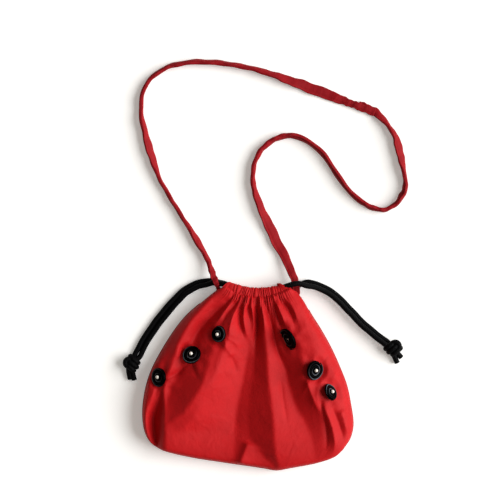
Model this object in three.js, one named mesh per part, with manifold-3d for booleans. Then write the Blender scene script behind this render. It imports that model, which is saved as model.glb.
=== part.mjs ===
// A gathered cloth crossbody bag, lying on its back: two sewn panels, a drawcord through each side of
// a folded casing, a thin cloth shoulder strap and six rolled rosettes with beads.
// Millimetres, +Z up. The origin lies on the floor under the middle of the bag, +Y runs to its mouth.
import * as THREE from "three";
import { mergeVertices } from "three/addons/utils/BufferGeometryUtils.js";
import Module from "manifold-3d";

const wasm = await Module();
wasm.setup();

// Cloth and fits
const clothThickness = 1.4;
const fitGap = 0.3;
const seamHeight = 3.2;
const leftSeamTop = 16;
const rightSeamTop = 12;
const crownHeight = 27.5;
const lowerCrownHeight = 22;

// Bag outline
const bagHalfWidth = 126;
const bagDepth = 215;
const mouthLine = 102.5;
const slitShare = 0.06;

// Casing round the mouth
const casingLeftX = -26;
const casingRightX = 49;
const casingMiddleX = 12;
const casingMiddleY = 96;
const casingLeftRise = 7.2;
const casingRightRise = 8.6;
const casingMiddleHeight = 20.6;
const casingEndHeight = 16.8;
const casingWall = 1.2;
const casingRoundness = 0.8;
const casingLap = 1.6;
const mouthGap = 5.4;
const pleatCount = 14;
const pleatDepth = 1.4;
const backPleatDepth = 0.8;

// Drawcords
const cordDiameter = 6.4;
const cordSides = 10;
const cordSteps = 44;
const turnInset = 8;
const notchLength = 16;
const stackLean = 1.25;
const stackShare = 0.93;

// Knots
const knotHalfLength = 10;
const knotHalfWidth = 8.6;
const knotHalfHeight = 7.6;
const wrapRadius = 7.4;
const wrapThickness = 5.1;
const wrapSlant = 0.45;

// Strap
const strapWidth = 13.5;
const strapThickness = 2;
const leftTuckWidth = 7.5;
const rightTuckWidth = 9;
const strapTuck = 7;
const tuckDrop = 0.25;

// Rosettes and beads
const rosetteRadius = 10.2;
const rosetteThickness = 3.2;
const rosetteTurnPitch = 2.6;
const rosetteRidge = 1.3;
const tackRadius = 3.4;
const tackHeight = 1.5;
const beadDiameter = 4.4;

// How the cloth swells and settles, as shares down or across a panel and as powers of a rounded curve
const crownClimb = 0.35;
const crownTaperStart = 0.55;
const crownTaperEnd = 0.85;
const crownLeftPower = 3.5;
const crownRightPower = 6;
const crownMouthPower = 5;
const crownMouthFade = 0.06;
const crownBottomPower = 7;
const crownSoftness = 0.6;
const seamClimb = 0.38;
const tuckSpaceStart = 0.07;
const tuckSpaceEnd = 0.18;
const backClimb = 0.24;
const backRimAcross = 0.72;
const backRimDown = 0.86;
const foldEdgePower = 0.8;
const foldSettle = 0.12;
const narrowestFold = 0.01;
const rippleFade = 0.05;
const seatInner = 1.25;
const seatOuter = 2;

// Colours
const redCloth = new THREE.MeshStandardMaterial({ color: 0xc8282d, roughness: 0.7, metalness: 0 });
const redStrap = new THREE.MeshStandardMaterial({ color: 0xb91e28, roughness: 0.8, metalness: 0 });
const blackCord = new THREE.MeshStandardMaterial({ color: 0x0d0d10, roughness: 0.75, metalness: 0 });
const blackCloth = new THREE.MeshStandardMaterial({ color: 0x141317, roughness: 0.8, metalness: 0 });
const pearl = new THREE.MeshStandardMaterial({ color: 0xf2efe8, roughness: 0.25, metalness: 0 });

// Sizes that follow from the ones above
const cordRadius = cordDiameter / 2;
const channelHalfDepth = cordRadius + fitGap;
const laneOffset = (cordDiameter + fitGap) / 2;
const casingInnerDepth = channelHalfDepth + casingWall;
const casingLength = casingRightX - casingLeftX;
const backCasingZ = casingInnerDepth + backPleatDepth;
const frontCasingZ = backCasingZ + 2 * casingInnerDepth + mouthGap;
const turnRadius = (frontCasingZ - backCasingZ) / 2;
const stackRise = stackShare * cordDiameter + fitGap;
const joinLift = strapThickness + fitGap;

// Outline points as shares of the half width and of the depth below the mouth line
const leftSide = [
  [-0.325, 0], [-0.43, 0.053], [-0.61, 0.153], [-0.81, 0.321],
  [-0.944, 0.481], [-1, 0.644], [-0.992, 0.756], [-0.897, 0.86],
];
const bottomEdge = [
  [-0.897, 0.86], [-0.58, 0.923], [-0.23, 0.956], [0.143, 0.988],
  [0.27, 1], [0.397, 0.988], [0.675, 0.956], [0.897, 0.888],
];
const rightSide = [
  [0.456, 0], [0.524, 0.053], [0.603, 0.133], [0.698, 0.221], [0.794, 0.323],
  [0.873, 0.426], [0.937, 0.523], [0.976, 0.63], [1, 0.747], [0.968, 0.826], [0.897, 0.888],
];

// Crests and hollows of the broad folds on the front, from left to right and each from the mouth down.
// A point holds its share of the half width, its share of the depth below the mouth line, and its height
// above or below the crown as a share of the crown's own.
const foldLines = [
  [[-0.48, -0.01, 0], [-0.71, 0.2, 0], [-0.87, 0.48, -0.07], [-0.905, 0.62, -0.175], [-0.88, 0.85, -0.07]],
  [[-0.35, 0.03, 0.035], [-0.56, 0.19, 0.14], [-0.69, 0.365, 0.12], [-0.79, 0.57, 0.25], [-0.8, 0.765, 0.3],
    [-0.81, 0.87, 0.1]],
  [[-0.24, 0.03, -0.07], [-0.33, 0.095, -0.12], [-0.51, 0.28, -0.19], [-0.635, 0.455, 0.07],
    [-0.7, 0.68, 0.32], [-0.78, 0.755, 0.34], [-0.785, 0.87, 0.15]],
  [[-0.16, 0.03, 0.035], [-0.2, 0.245, 0.245], [-0.375, 0.455, 0.385], [-0.57, 0.655, 0.42],
    [-0.715, 0.75, 0.37], [-0.76, 0.875, 0.16], [-0.73, 0.93, 0.035]],
  [[0.07, 0.03, -0.035], [0.07, 0.245, -0.19], [0.015, 0.385, -0.31], [-0.025, 0.56, -0.35],
    [-0.087, 0.645, -0.31], [-0.105, 0.73, -0.22], [-0.135, 0.81, -0.08], [-0.16, 0.97, -0.035]],
  [[0.105, 0.03, 0.02], [0.145, 0.19, 0.05], [0.175, 0.475, 0], [0.2, 0.66, 0.14], [0.23, 0.825, 0.3],
    [0.285, 0.99, 0.15]],
  [[0.205, 0.03, -0.02], [0.245, 0.275, -0.175], [0.35, 0.43, -0.34], [0.41, 0.59, -0.33],
    [0.525, 0.72, -0.22], [0.605, 0.85, -0.1], [0.635, 0.93, -0.035]],
  [[0.285, 0.03, 0.02], [0.435, 0.245, 0.14], [0.51, 0.385, 0.07], [0.565, 0.53, 0.035], [0.68, 0.655, 0.07],
    [0.81, 0.765, 0.1], [0.815, 0.915, 0]],
  [[0.445, 0.03, 0.07], [0.585, 0.18, 0.28], [0.715, 0.31, 0.28], [0.825, 0.475, 0.21], [0.88, 0.615, 0.16],
    [0.92, 0.755, 0.12], [0.905, 0.87, 0]],
];

// Rosettes: their place as shares across and down the front, how far they lean and which way
const rosettes = [
  { name: "left_top", across: 0.256, down: 0.262, lean: 20, toward: 180 },
  { name: "left_middle", across: 0.153, down: 0.41, lean: 17, toward: 190 },
  { name: "left_bottom", across: 0.047, down: 0.594, lean: 34, toward: 190 },
  { name: "right_top", across: 0.775, down: 0.25, lean: 34, toward: 212 },
  { name: "right_middle", across: 0.863, down: 0.47, lean: 24, toward: -20 },
  { name: "right_bottom", across: 0.902, down: 0.62, lean: 34, toward: -10 },
];

// Smooth step from 0 at a to 1 at b
function smooth(a, b, value) {
  return THREE.MathUtils.smoothstep(value, a, b);
}

// Evenly spaced shares from 0 to 1
function shares(count) {
  return Array.from({ length: count + 1 }, (_, i) => i / count);
}

// Solid for joining and cutting, from a closed geometry
function solidOf(geometry) {
  const bare = geometry.clone();
  bare.deleteAttribute("normal");
  bare.deleteAttribute("uv");
  const merged = mergeVertices(bare, 1e-4);
  return new wasm.Manifold(
    new wasm.Mesh({
      numProp: 3,
      vertProperties: new Float32Array(merged.attributes.position.array),
      triVerts: new Uint32Array(merged.index.array),
    }),
  );
}

// Geometry of a joined or cut solid
function geometryOf(solid) {
  const mesh = solid.getMesh();
  const geometry = new THREE.BufferGeometry();
  geometry.setAttribute("position", new THREE.BufferAttribute(mesh.vertProperties, 3));
  geometry.setIndex(new THREE.BufferAttribute(mesh.triVerts, 1));
  geometry.computeVertexNormals();
  return geometry;
}

// Geometry from points and triangles
function geometryFrom(points, triangles) {
  const geometry = new THREE.BufferGeometry();
  geometry.setAttribute("position", new THREE.Float32BufferAttribute(points.flat(), 3));
  geometry.setIndex(triangles);
  geometry.computeVertexNormals();
  return geometry;
}

// Closed body through rows of points that each run once round it, with a fan over each end.
// Rows turn anticlockwise when seen from the last row towards the first.
function loft(rows) {
  const count = rows[0].length;
  const points = rows.flat();
  const triangles = [];
  for (let row = 0; row + 1 < rows.length; row += 1) {
    for (let i = 0; i < count; i += 1) {
      const a = row * count + i;
      const b = row * count + ((i + 1) % count);
      triangles.push(a, b, b + count, a, b + count, a + count);
    }
  }
  const middle = (row) =>
    [0, 1, 2].map((axis) => row.reduce((sum, point) => sum + point[axis], 0) / count);
  const first = points.push(middle(rows[0])) - 1;
  const last = points.push(middle(rows[rows.length - 1])) - 1;
  const end = (rows.length - 1) * count;
  for (let i = 0; i < count; i += 1) {
    const next = (i + 1) % count;
    triangles.push(first, next, i);
    triangles.push(last, end + i, end + next);
  }
  return geometryFrom(points, triangles);
}

// Closed sheet between an upper and a lower face on one grid of shares across and down
function sheet(acrossShares, downShares, upperPoint, lowerPoint) {
  const columns = acrossShares.length;
  const rows = downShares.length;
  const points = [];
  for (const face of [upperPoint, lowerPoint]) {
    for (const down of downShares) {
      for (const across of acrossShares) points.push(face(across, down));
    }
  }
  const at = (face, row, column) => (face * rows + row) * columns + column;
  const triangles = [];
  const quad = (a, b, c, d) => triangles.push(a, b, c, a, c, d);
  const right = columns - 1;
  const low = rows - 1;
  for (let row = 0; row < low; row += 1) {
    for (let column = 0; column < right; column += 1) {
      quad(at(0, row, column), at(0, row + 1, column), at(0, row + 1, column + 1), at(0, row, column + 1));
      quad(at(1, row, column), at(1, row, column + 1), at(1, row + 1, column + 1), at(1, row + 1, column));
    }
    quad(at(0, row, 0), at(1, row, 0), at(1, row + 1, 0), at(0, row + 1, 0));
    quad(at(0, row, right), at(0, row + 1, right), at(1, row + 1, right), at(1, row, right));
  }
  for (let column = 0; column < right; column += 1) {
    quad(at(0, 0, column), at(0, 0, column + 1), at(1, 0, column + 1), at(1, 0, column));
    quad(at(0, low, column), at(1, low, column), at(1, low, column + 1), at(0, low, column + 1));
  }
  return geometryFrom(points, triangles);
}

// Middle line of the casing: a shallow arc in plan
function casingFrame(share) {
  const x = THREE.MathUtils.lerp(casingLeftX, casingRightX, share);
  const left = x < casingMiddleX;
  const reach = left ? casingLeftX - casingMiddleX : casingRightX - casingMiddleX;
  const rise = left ? casingLeftRise : casingRightRise;
  const along = (x - casingMiddleX) / reach;
  const slope = (2 * rise * along) / reach;
  const length = Math.hypot(1, slope);
  return {
    x,
    y: casingMiddleY + rise * along * along,
    tangent: [1 / length, slope / length],
    normal: [-slope / length, 1 / length],
    halfHeight: THREE.MathUtils.lerp(casingMiddleHeight, casingEndHeight, along * along) / 2,
  };
}

// Point of the casing at a share along it, a height across its band and a level
function casingPoint(share, up, level) {
  const frame = casingFrame(share);
  return [frame.x + frame.normal[0] * up, frame.y + frame.normal[1] * up, level];
}

// Pleat wave along the casing, 1 on a ridge and 0 in a valley
function pleat(share) {
  return 0.5 + 0.5 * Math.cos(2 * Math.PI * pleatCount * share);
}

// Sine or cosine swollen towards a box, for the casing's oval
function swollen(value) {
  return Math.sign(value) * Math.abs(value) ** casingRoundness;
}

// Casing tube: an oval band with pleats on its outer side, which faces up on the front
function casingBody(middleZ, outerDepth, outward, stepsPerPleat) {
  const ringPoints = 10;
  const rows = shares(pleatCount * stepsPerPleat).map((share) => {
    const { halfHeight } = casingFrame(share);
    return shares(ringPoints).slice(0, -1).map((turn) => {
      const angle = 2 * Math.PI * turn;
      const side = swollen(Math.sin(angle));
      const outer = side * outward > 0;
      const depth = casingInnerDepth + (outer ? outerDepth * pleat(share) : 0);
      return casingPoint(share, halfHeight * swollen(Math.cos(angle)), middleZ + side * depth);
    });
  });
  return solidOf(loft(rows));
}

// Channel for two strands side by side, open at both ends of the casing
function channelCut(middleZ) {
  const overrun = 0.04;
  const arcPoints = 6;
  const stations = 12;
  const rows = shares(stations).map((step) => {
    const share = THREE.MathUtils.lerp(-overrun, 1 + overrun, step);
    const row = [];
    for (const end of [1, -1]) {
      for (const turn of shares(arcPoints)) {
        const angle = Math.PI * (turn - end / 2);
        const up = end * laneOffset + channelHalfDepth * Math.cos(angle);
        row.push(casingPoint(share, up, middleZ + channelHalfDepth * Math.sin(angle)));
      }
    }
    return row;
  });
  return solidOf(loft(rows));
}

// Notch in the casing's inner wall where a drawcord turns from one casing into the other
function notchCut(endShare, lane, middleZ, towardMouth) {
  const frame = casingFrame(endShare);
  const outward = endShare === 0 ? -1 : 1;
  const width = cordDiameter + 4 * fitGap;
  const depth = 2 * casingInnerDepth;
  const overrun = 4;
  const box = new THREE.BoxGeometry(notchLength + overrun, width, depth);
  box.rotateZ(Math.atan2(frame.tangent[1], frame.tangent[0]));
  const along = (outward * (overrun - notchLength)) / 2;
  box.translate(
    frame.x + frame.tangent[0] * along + frame.normal[0] * lane,
    frame.y + frame.tangent[1] * along + frame.normal[1] * lane,
    middleZ + (towardMouth * depth) / 2,
  );
  return solidOf(box);
}

// Bag outline in plan
function outlineCurve(list) {
  const points = list.map(([x, y]) => new THREE.Vector3(x * bagHalfWidth, mouthLine - y * bagDepth, 0));
  return new THREE.CatmullRomCurve3(points, false, "centripetal");
}
const leftCurve = outlineCurve(leftSide);
const bottomCurve = outlineCurve(bottomEdge);
const rightCurve = outlineCurve(rightSide);
const leftEar = leftCurve.getPointAt(0);
const rightEar = rightCurve.getPointAt(0);

// Share along the casing for a share across the panel
function casingShare(across) {
  return (across - slitShare) / (1 - 2 * slitShare);
}

// Upper edge of a panel: the side slits at both ends and the casing's stitch line between them
function upperEdge(across) {
  const share = THREE.MathUtils.clamp(casingShare(across), 0, 1);
  const { halfHeight } = casingFrame(share);
  const corner = new THREE.Vector3(...casingPoint(share, casingLap - halfHeight, 0));
  if (across < slitShare) return leftEar.clone().lerp(corner, across / slitShare);
  if (across > 1 - slitShare) return corner.lerp(rightEar, (across - 1 + slitShare) / slitShare);
  return corner;
}

// Plan point of a panel, spread between its four edges
function planPoint(across, down) {
  const point = new THREE.Vector3();
  point.addScaledVector(upperEdge(across), 1 - down);
  point.addScaledVector(bottomCurve.getPointAt(across), down);
  point.addScaledVector(leftCurve.getPointAt(down), 1 - across);
  point.addScaledVector(rightCurve.getPointAt(down), across);
  point.addScaledVector(leftEar, -(1 - across) * (1 - down));
  point.addScaledVector(rightEar, -across * (1 - down));
  point.addScaledVector(bottomCurve.getPointAt(0), -(1 - across) * down);
  point.addScaledVector(bottomCurve.getPointAt(1), -across * down);
  return point;
}

// Height of the side seam, which climbs to the slits beside the mouth
function seamLevel(across, down) {
  const top = across < 0.5 ? leftSeamTop : rightSeamTop;
  return THREE.MathUtils.lerp(top, seamHeight, smooth(0, seamClimb, down));
}

// Half the space between the middles of the panels along the seam, wider where the strap is tucked in
function seamHalfSpace(down) {
  const tucked = 1 - smooth(tuckSpaceStart, tuckSpaceEnd, down);
  return (clothThickness + fitGap + tucked * joinLift) / 2;
}

// Fullness of the front, 0 along the seams and 1 in the middle
function fullness(across, down) {
  const side = Math.abs(2 * across - 1);
  const sidePower = across < 0.5 ? crownLeftPower : crownRightPower;
  const power = sidePower + crownMouthPower * Math.exp(-down / crownMouthFade);
  return ((1 - side ** power) * (1 - down ** crownBottomPower)) ** crownSoftness;
}

// Place and height of a fold line at a share of the depth
function foldAt(line, depthShare) {
  const next = line.findIndex((point) => point[1] > depthShare);
  if (next === 0) return { place: line[0][0], height: line[0][2] };
  const from = line.at(next < 0 ? -1 : next - 1);
  const to = line.at(next);
  const part = next < 0 ? 0 : (depthShare - from[1]) / (to[1] - from[1]);
  return {
    place: THREE.MathUtils.lerp(from[0], to[0], part),
    height: THREE.MathUtils.lerp(from[2], to[2], part),
  };
}

// Height of the broad folds at a plan point: even slopes from each fold line to the next
function foldHeight(point) {
  const across = point.x / bagHalfWidth;
  const depthShare = (mouthLine - point.y) / bagDepth;
  const spots = foldLines.map((line) => foldAt(line, depthShare));
  if (across <= spots[0].place) return crownHeight * spots[0].height;
  for (let i = 0; i + 1 < spots.length; i += 1) {
    const from = spots[i];
    const to = spots[i + 1];
    if (across <= to.place) {
      const part = (across - from.place) / Math.max(to.place - from.place, narrowestFold);
      return crownHeight * THREE.MathUtils.lerp(from.height, to.height, part);
    }
  }
  return crownHeight * spots.at(-1).height;
}

// Front height before the rosettes press it flat
function foldedFront(across, down, point) {
  const full = fullness(across, down);
  const tapered = smooth(crownTaperStart, crownTaperEnd, down);
  const highest = THREE.MathUtils.lerp(crownHeight, lowerCrownHeight, tapered);
  const crown = THREE.MathUtils.lerp(frontCasingZ, highest, smooth(0, crownClimb, down));
  const seam = seamLevel(across, down) + seamHalfSpace(down);
  const share = casingShare(across);
  const gathered = share > 0 && share < 1 ? (2 * pleat(share) - 1) * pleatDepth : 0;
  const relief = foldHeight(point) * smooth(0, foldSettle, down) + gathered * Math.exp(-down / rippleFade);
  return Math.max(seam, THREE.MathUtils.lerp(seam, crown, full) + relief * full ** foldEdgePower);
}

// Seats of the rosettes: leaning planes on the front
for (const rosette of rosettes) {
  rosette.centre = planPoint(rosette.across, rosette.down);
  const lean = THREE.MathUtils.degToRad(rosette.lean);
  const toward = THREE.MathUtils.degToRad(rosette.toward);
  rosette.normal = new THREE.Vector3(
    Math.sin(lean) * Math.cos(toward),
    Math.sin(lean) * Math.sin(toward),
    Math.cos(lean),
  );
  const lowest = seamHeight + clothThickness + rosetteRadius * Math.sin(lean);
  const level = foldedFront(rosette.across, rosette.down, rosette.centre);
  rosette.centre.z = Math.max(level, lowest);
}

// Front height with a flat seat under each rosette
function frontLevel(across, down) {
  const point = planPoint(across, down);
  let level = foldedFront(across, down, point);
  for (const { centre, normal } of rosettes) {
    const away = Math.hypot(point.x - centre.x, point.y - centre.y) / rosetteRadius;
    const fall = (normal.x * (point.x - centre.x) + normal.y * (point.y - centre.y)) / normal.z;
    level = THREE.MathUtils.lerp(centre.z - fall, level, smooth(seatInner, seatOuter, away));
  }
  return Math.max(level, seamLevel(across, down) + seamHalfSpace(down));
}

// Back height: flat on the floor, rising to the seams and to its casing
function backLevel(across, down) {
  const side = Math.abs(2 * across - 1);
  const seam = seamLevel(across, down) - seamHalfSpace(down);
  const level = THREE.MathUtils.lerp(backCasingZ, clothThickness / 2, smooth(0, backClimb, down));
  const inside = (1 - smooth(backRimAcross, 1, side) ** 2) * (1 - smooth(backRimDown, 1, down) ** 2);
  return THREE.MathUtils.lerp(seam, level, inside);
}

// One panel: its sheet and its casing in one piece, with the drawcord channel cut through
function panel(level, acrossShares, downShares, casing, cuts) {
  const face = (offset) => (across, down) => {
    const point = planPoint(across, down);
    return [point.x, point.y, level(across, down) + offset];
  };
  const half = clothThickness / 2;
  let solid = solidOf(sheet(acrossShares, downShares, face(half), face(-half))).add(casing);
  for (const cut of cuts) solid = solid.subtract(cut);
  return geometryOf(solid);
}

// The channel of one casing and its two notches, which open towards the mouth
function casingCuts(middleZ, towardMouth) {
  return [
    channelCut(middleZ),
    notchCut(0, -laneOffset, middleZ, towardMouth),
    notchCut(1, laneOffset, middleZ, towardMouth),
  ];
}

const frontPleatSteps = 4;
const backPleatSteps = 2;
const slitColumns = [0, 1, 2].map((column) => (column * slitShare) / 3);
const pleatColumns = shares(pleatCount * frontPleatSteps).map((share) =>
  THREE.MathUtils.lerp(slitShare, 1 - slitShare, share),
);
const frontColumns = [...slitColumns, ...pleatColumns, ...slitColumns.map((share) => 1 - share).reverse()];
const frontRows = shares(22).map((share) => share ** 1.12);
const frontPanel = panel(
  frontLevel,
  frontColumns,
  frontRows,
  casingBody(frontCasingZ, pleatDepth, 1, frontPleatSteps),
  casingCuts(frontCasingZ, -1),
);
const backPanel = panel(
  backLevel,
  shares(24),
  shares(12),
  casingBody(backCasingZ, backPleatDepth, -1, backPleatSteps),
  casingCuts(backCasingZ, 1),
);

// Drawcords. Each is one loop: from its knot through the front casing, round a turn at the far slit
// and back through the back casing. The pair routes below are the middle lines of the two strands.
const leftPairRoute = [
  [-50.5, 111.8], [-59.5, 110], [-68.3, 105.8], [-76.6, 100.6], [-83.4, 93.8], [-90.2, 86.8],
  [-96.5, 79.5], [-102.6, 72], [-108.7, 64.4], [-114.1, 56.5], [-119.6, 48.5], [-124.7, 40.3],
  [-129, 31.8], [-133, 24],
];
const rightPairRoute = [
  [70, 110.6], [79.3, 109.2], [88.4, 105.7], [97.2, 101.3], [105.1, 95.3], [112.2, 88.8],
  [118.8, 81.6], [125.6, 74.8], [131.9, 67.8], [138.7, 61.1], [146.2, 55], [153.1, 49],
  [160.8, 43.2], [166.5, 39],
];

// One strand beside or above its pair's middle line, from the bag to the knot
function strandPoints(route, sideways, levels) {
  return route.map(([x, y], i) => {
    const before = route[Math.max(i - 1, 0)];
    const after = route[Math.min(i + 1, route.length - 1)];
    const length = Math.hypot(after[0] - before[0], after[1] - before[1]);
    const nx = -(after[1] - before[1]) / length;
    const ny = (after[0] - before[0]) / length;
    const level = levels[Math.min(i, levels.length - 1)];
    return new THREE.Vector3(x + nx * sideways, y + ny * sideways, level);
  });
}

// Points along a casing lane between two shares of the casing's length
function lanePoints(lane, level, startShare, endShare) {
  return shares(6).map((step) => {
    const share = THREE.MathUtils.lerp(startShare, endShare, step);
    return new THREE.Vector3(...casingPoint(share, lane, level));
  });
}

// Half turn from the front casing down to the back one, at the end of a lane
function turnPoints(endShare, lane) {
  const frame = casingFrame(endShare);
  const outward = endShare === 0 ? -1 : 1;
  const start = casingPoint(endShare, lane, (frontCasingZ + backCasingZ) / 2);
  return shares(6).map((step) => {
    const angle = Math.PI * step;
    const along = outward * (turnRadius * Math.sin(angle) - turnInset);
    return new THREE.Vector3(
      start[0] + frame.tangent[0] * along,
      start[1] + frame.tangent[1] * along,
      start[2] + turnRadius * Math.cos(angle),
    );
  });
}

const turnLead = 0.1;
const insetShare = turnInset / casingLength + turnLead;
const exitShare = 0.04;
const leftCordPoints = [
  ...strandPoints(leftPairRoute, laneOffset, [9.4, 6.2, 4.2, cordRadius]).reverse(),
  new THREE.Vector3(-42, 109.3, 11.8),
  new THREE.Vector3(-35.5, 109.3, 15.4),
  ...lanePoints(laneOffset, frontCasingZ, -exitShare, 1 - insetShare),
  ...turnPoints(1, laneOffset),
  ...lanePoints(laneOffset, backCasingZ, 1 - insetShare, -exitShare),
  new THREE.Vector3(-35.5, 112, 4.8),
  new THREE.Vector3(-42, 114.2, 4.1),
  ...strandPoints(leftPairRoute, -laneOffset, [cordRadius]),
];
const rightCordPoints = [
  ...strandPoints(rightPairRoute, -stackLean, [17.2, 14, 11.4, cordRadius + stackRise]).reverse(),
  new THREE.Vector3(64.5, 108.2, 19.6),
  new THREE.Vector3(58, 104.6, 20.9),
  ...lanePoints(-laneOffset, frontCasingZ, 1 + exitShare, insetShare),
  ...turnPoints(0, -laneOffset),
  ...lanePoints(-laneOffset, backCasingZ, insetShare, 1 + exitShare),
  new THREE.Vector3(58, 103.8, 4.6),
  new THREE.Vector3(64.5, 107.2, 3.6),
  ...strandPoints(rightPairRoute, stackLean, [cordRadius]),
];

// Round cord along a list of points
function cordTube(points, diameter, sides, steps) {
  const section = new THREE.Shape();
  for (let i = 0; i < sides; i += 1) {
    const angle = (2 * Math.PI * i) / sides;
    const x = (diameter / 2) * Math.cos(angle);
    const y = (diameter / 2) * Math.sin(angle);
    if (i === 0) section.moveTo(x, y);
    else section.lineTo(x, y);
  }
  const path = new THREE.CatmullRomCurve3(points, false, "centripetal");
  return new THREE.ExtrudeGeometry(section, { steps, bevelEnabled: false, extrudePath: path });
}

// Knots: the doubled cord tied on itself, with two short tails
const leftKnot = {
  centre: [-138.5, 15.5],
  turn: 62,
  tails: [[[-139.5, 12], [-137.5, 3], [-134.6, -5]], [[-143, 12], [-143.5, 4], [-141.5, -3.6]]],
};
const rightKnot = {
  centre: [173.5, 33.5],
  turn: -38,
  tails: [[[176, 31], [181, 26.5], [184.3, 22.5]], [[172.5, 29], [175.5, 21.5], [178.4, 15.6]]],
};
const socketSlack = 8 * fitGap;
const knotStrandPoints = 4;

function knotBody(knot, cordPoints) {
  const core = new THREE.SphereGeometry(1, 12, 7);
  core.scale(knotHalfLength, knotHalfWidth, knotHalfHeight - fitGap);
  const wrap = new THREE.TorusGeometry(wrapRadius, wrapThickness / 2, 6, 12);
  wrap.scale(1, knotHalfHeight / (wrapRadius + wrapThickness / 2), 1);
  wrap.rotateX(Math.PI / 2);
  wrap.rotateZ(Math.PI / 2 + wrapSlant);
  for (const piece of [core, wrap]) {
    piece.rotateZ(THREE.MathUtils.degToRad(knot.turn));
    piece.translate(knot.centre[0], knot.centre[1], knotHalfHeight);
  }
  let solid = solidOf(core).add(solidOf(wrap));
  for (const tail of knot.tails) {
    const levels = [knotHalfHeight, cordRadius + fitGap, cordRadius + fitGap];
    const points = tail.map(([x, y], i) => new THREE.Vector3(x, y, levels[i]));
    solid = solid.add(solidOf(cordTube(points, cordDiameter, 8, 4)));
  }
  for (const strand of [cordPoints.slice(0, knotStrandPoints), cordPoints.slice(-knotStrandPoints)]) {
    solid = solid.subtract(solidOf(cordTube(strand, cordDiameter + socketSlack, cordSides, 6)));
  }
  return geometryOf(solid);
}

// Strap: middle line in plan, turn of the band about its length in degrees, lift off the floor and
// width. At a turn of 0 or 180 the band lies flat, at 90 it stands on its edge.
const leftTuckLevel = seamLevel(0, 0) - strapThickness / 2;
const rightTuckLevel = seamLevel(1, 0) - strapThickness / 2;
const leftStrapRoute = [
  [leftEar.x, leftEar.y - strapTuck, 0, leftTuckLevel - tuckDrop, leftTuckWidth],
  [leftEar.x, leftEar.y + 0.5, 0, leftTuckLevel, leftTuckWidth],
  [-41.4, 106.4, 0, 18.6, leftTuckWidth], [-42, 113, 4, 18.8, 8], [-44.2, 125, 48, 7.5, 12],
  [-48, 139, 80, 0, strapWidth], [-62, 164, 65, 0, strapWidth], [-77, 188, 104, 0, strapWidth],
  [-92.5, 213, 106, 0, strapWidth], [-106.5, 238, 95, 0, strapWidth], [-116.5, 265, 62, 0, strapWidth],
  [-124, 293, 66, 0, strapWidth], [-128.3, 322, 82, 0, strapWidth], [-122, 349, 100, 0, strapWidth],
  [-100.5, 368, 108, 0, strapWidth], [-73, 375.5, 107, 0, strapWidth], [-44, 376, 110, 0, strapWidth],
  [-15.5, 372.5, 104, 0, strapWidth], [12.5, 366.5, 115, 0, strapWidth], [40, 357.7, 138, 0, strapWidth],
  [67, 348, 168, 0, strapWidth], [94, 338.2, 176, 0, strapWidth], [115, 330.4, 176, 0, strapWidth],
  [126, 326.6, 180, 0, strapWidth], [139, 322, 180, 0, strapWidth], [153, 316.2, 180, 0, strapWidth],
];
const rightStrapRoute = [
  [131, 324.9, 180, joinLift, strapWidth], [142, 320.8, 180, joinLift, strapWidth],
  [152, 316.4, 178, joinLift, strapWidth], [160, 308.5, 128, 1.6, strapWidth],
  [169.5, 298, 92, 0, strapWidth], [176.3, 287, 62, 0, strapWidth], [181, 272, 74, 0, strapWidth],
  [184.5, 255, 118, 0, strapWidth], [188, 238, 104, 0, strapWidth], [188, 225, 88, 0, strapWidth],
  [184, 216, 76, 0, strapWidth], [176, 205.5, 76, 0, strapWidth], [163.7, 199.5, 98, 0, strapWidth],
  [149.6, 201.7, 108, 0, strapWidth], [136.8, 208.3, 106, 0, strapWidth], [116, 228, 108, 0, strapWidth],
  [100, 252, 112, 0, strapWidth], [82, 274, 110, 0, strapWidth], [57, 287.5, 112, 0, strapWidth],
  [42, 287.3, 112, 0, strapWidth], [28.7, 281.9, 109, 0, strapWidth], [17.6, 272.8, 112, 0, strapWidth],
  [10, 261, 101, 0, strapWidth], [6.3, 247, 102, 0, strapWidth], [6.1, 232.7, 107, 0, strapWidth],
  [9, 218.8, 116, 0, strapWidth], [19.7, 192, 132, 0, strapWidth], [31.7, 166.4, 158, 0, strapWidth],
  [44.9, 141, 150, 3, strapWidth], [51.5, 126, 158, 7.5, 11.5], [55.8, 114, 172, 10.6, 10],
  [rightEar.x, rightEar.y + 2, 180, rightTuckLevel, rightTuckWidth],
  [rightEar.x, rightEar.y - strapTuck, 180, rightTuckLevel - tuckDrop, rightTuckWidth],
];
const up = new THREE.Vector3(0, 0, 1);

function strapBand(route, stations) {
  const line = new THREE.CatmullRomCurve3(route.map(([x, y]) => new THREE.Vector3(x, y, 0)));
  const halfThickness = strapThickness / 2;
  const rows = shares(stations).map((share) => {
    const heading = line.getTangent(share);
    const place = share * (route.length - 1);
    const from = Math.min(Math.floor(place), route.length - 2);
    const blend = (column) =>
      THREE.MathUtils.lerp(route[from][column], route[from + 1][column], place - from);
    const turn = THREE.MathUtils.degToRad(blend(2));
    const halfWidth = blend(4) / 2;
    const left = new THREE.Vector3(-heading.y, heading.x, 0);
    const across = left.clone().multiplyScalar(Math.cos(turn)).addScaledVector(up, Math.sin(turn));
    const face = up.clone().multiplyScalar(Math.cos(turn)).addScaledVector(left, -Math.sin(turn));
    const middle = line.getPoint(share);
    middle.z = blend(3) + Math.abs(Math.sin(turn)) * halfWidth + Math.abs(Math.cos(turn)) * halfThickness;
    const corner = (a, f) =>
      middle.clone().addScaledVector(across, a * halfWidth).addScaledVector(face, f * halfThickness);
    return [corner(1, 1), corner(-1, 1), corner(-1, -1), corner(1, -1)].map((point) => point.toArray());
  });
  return loft(rows);
}

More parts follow.
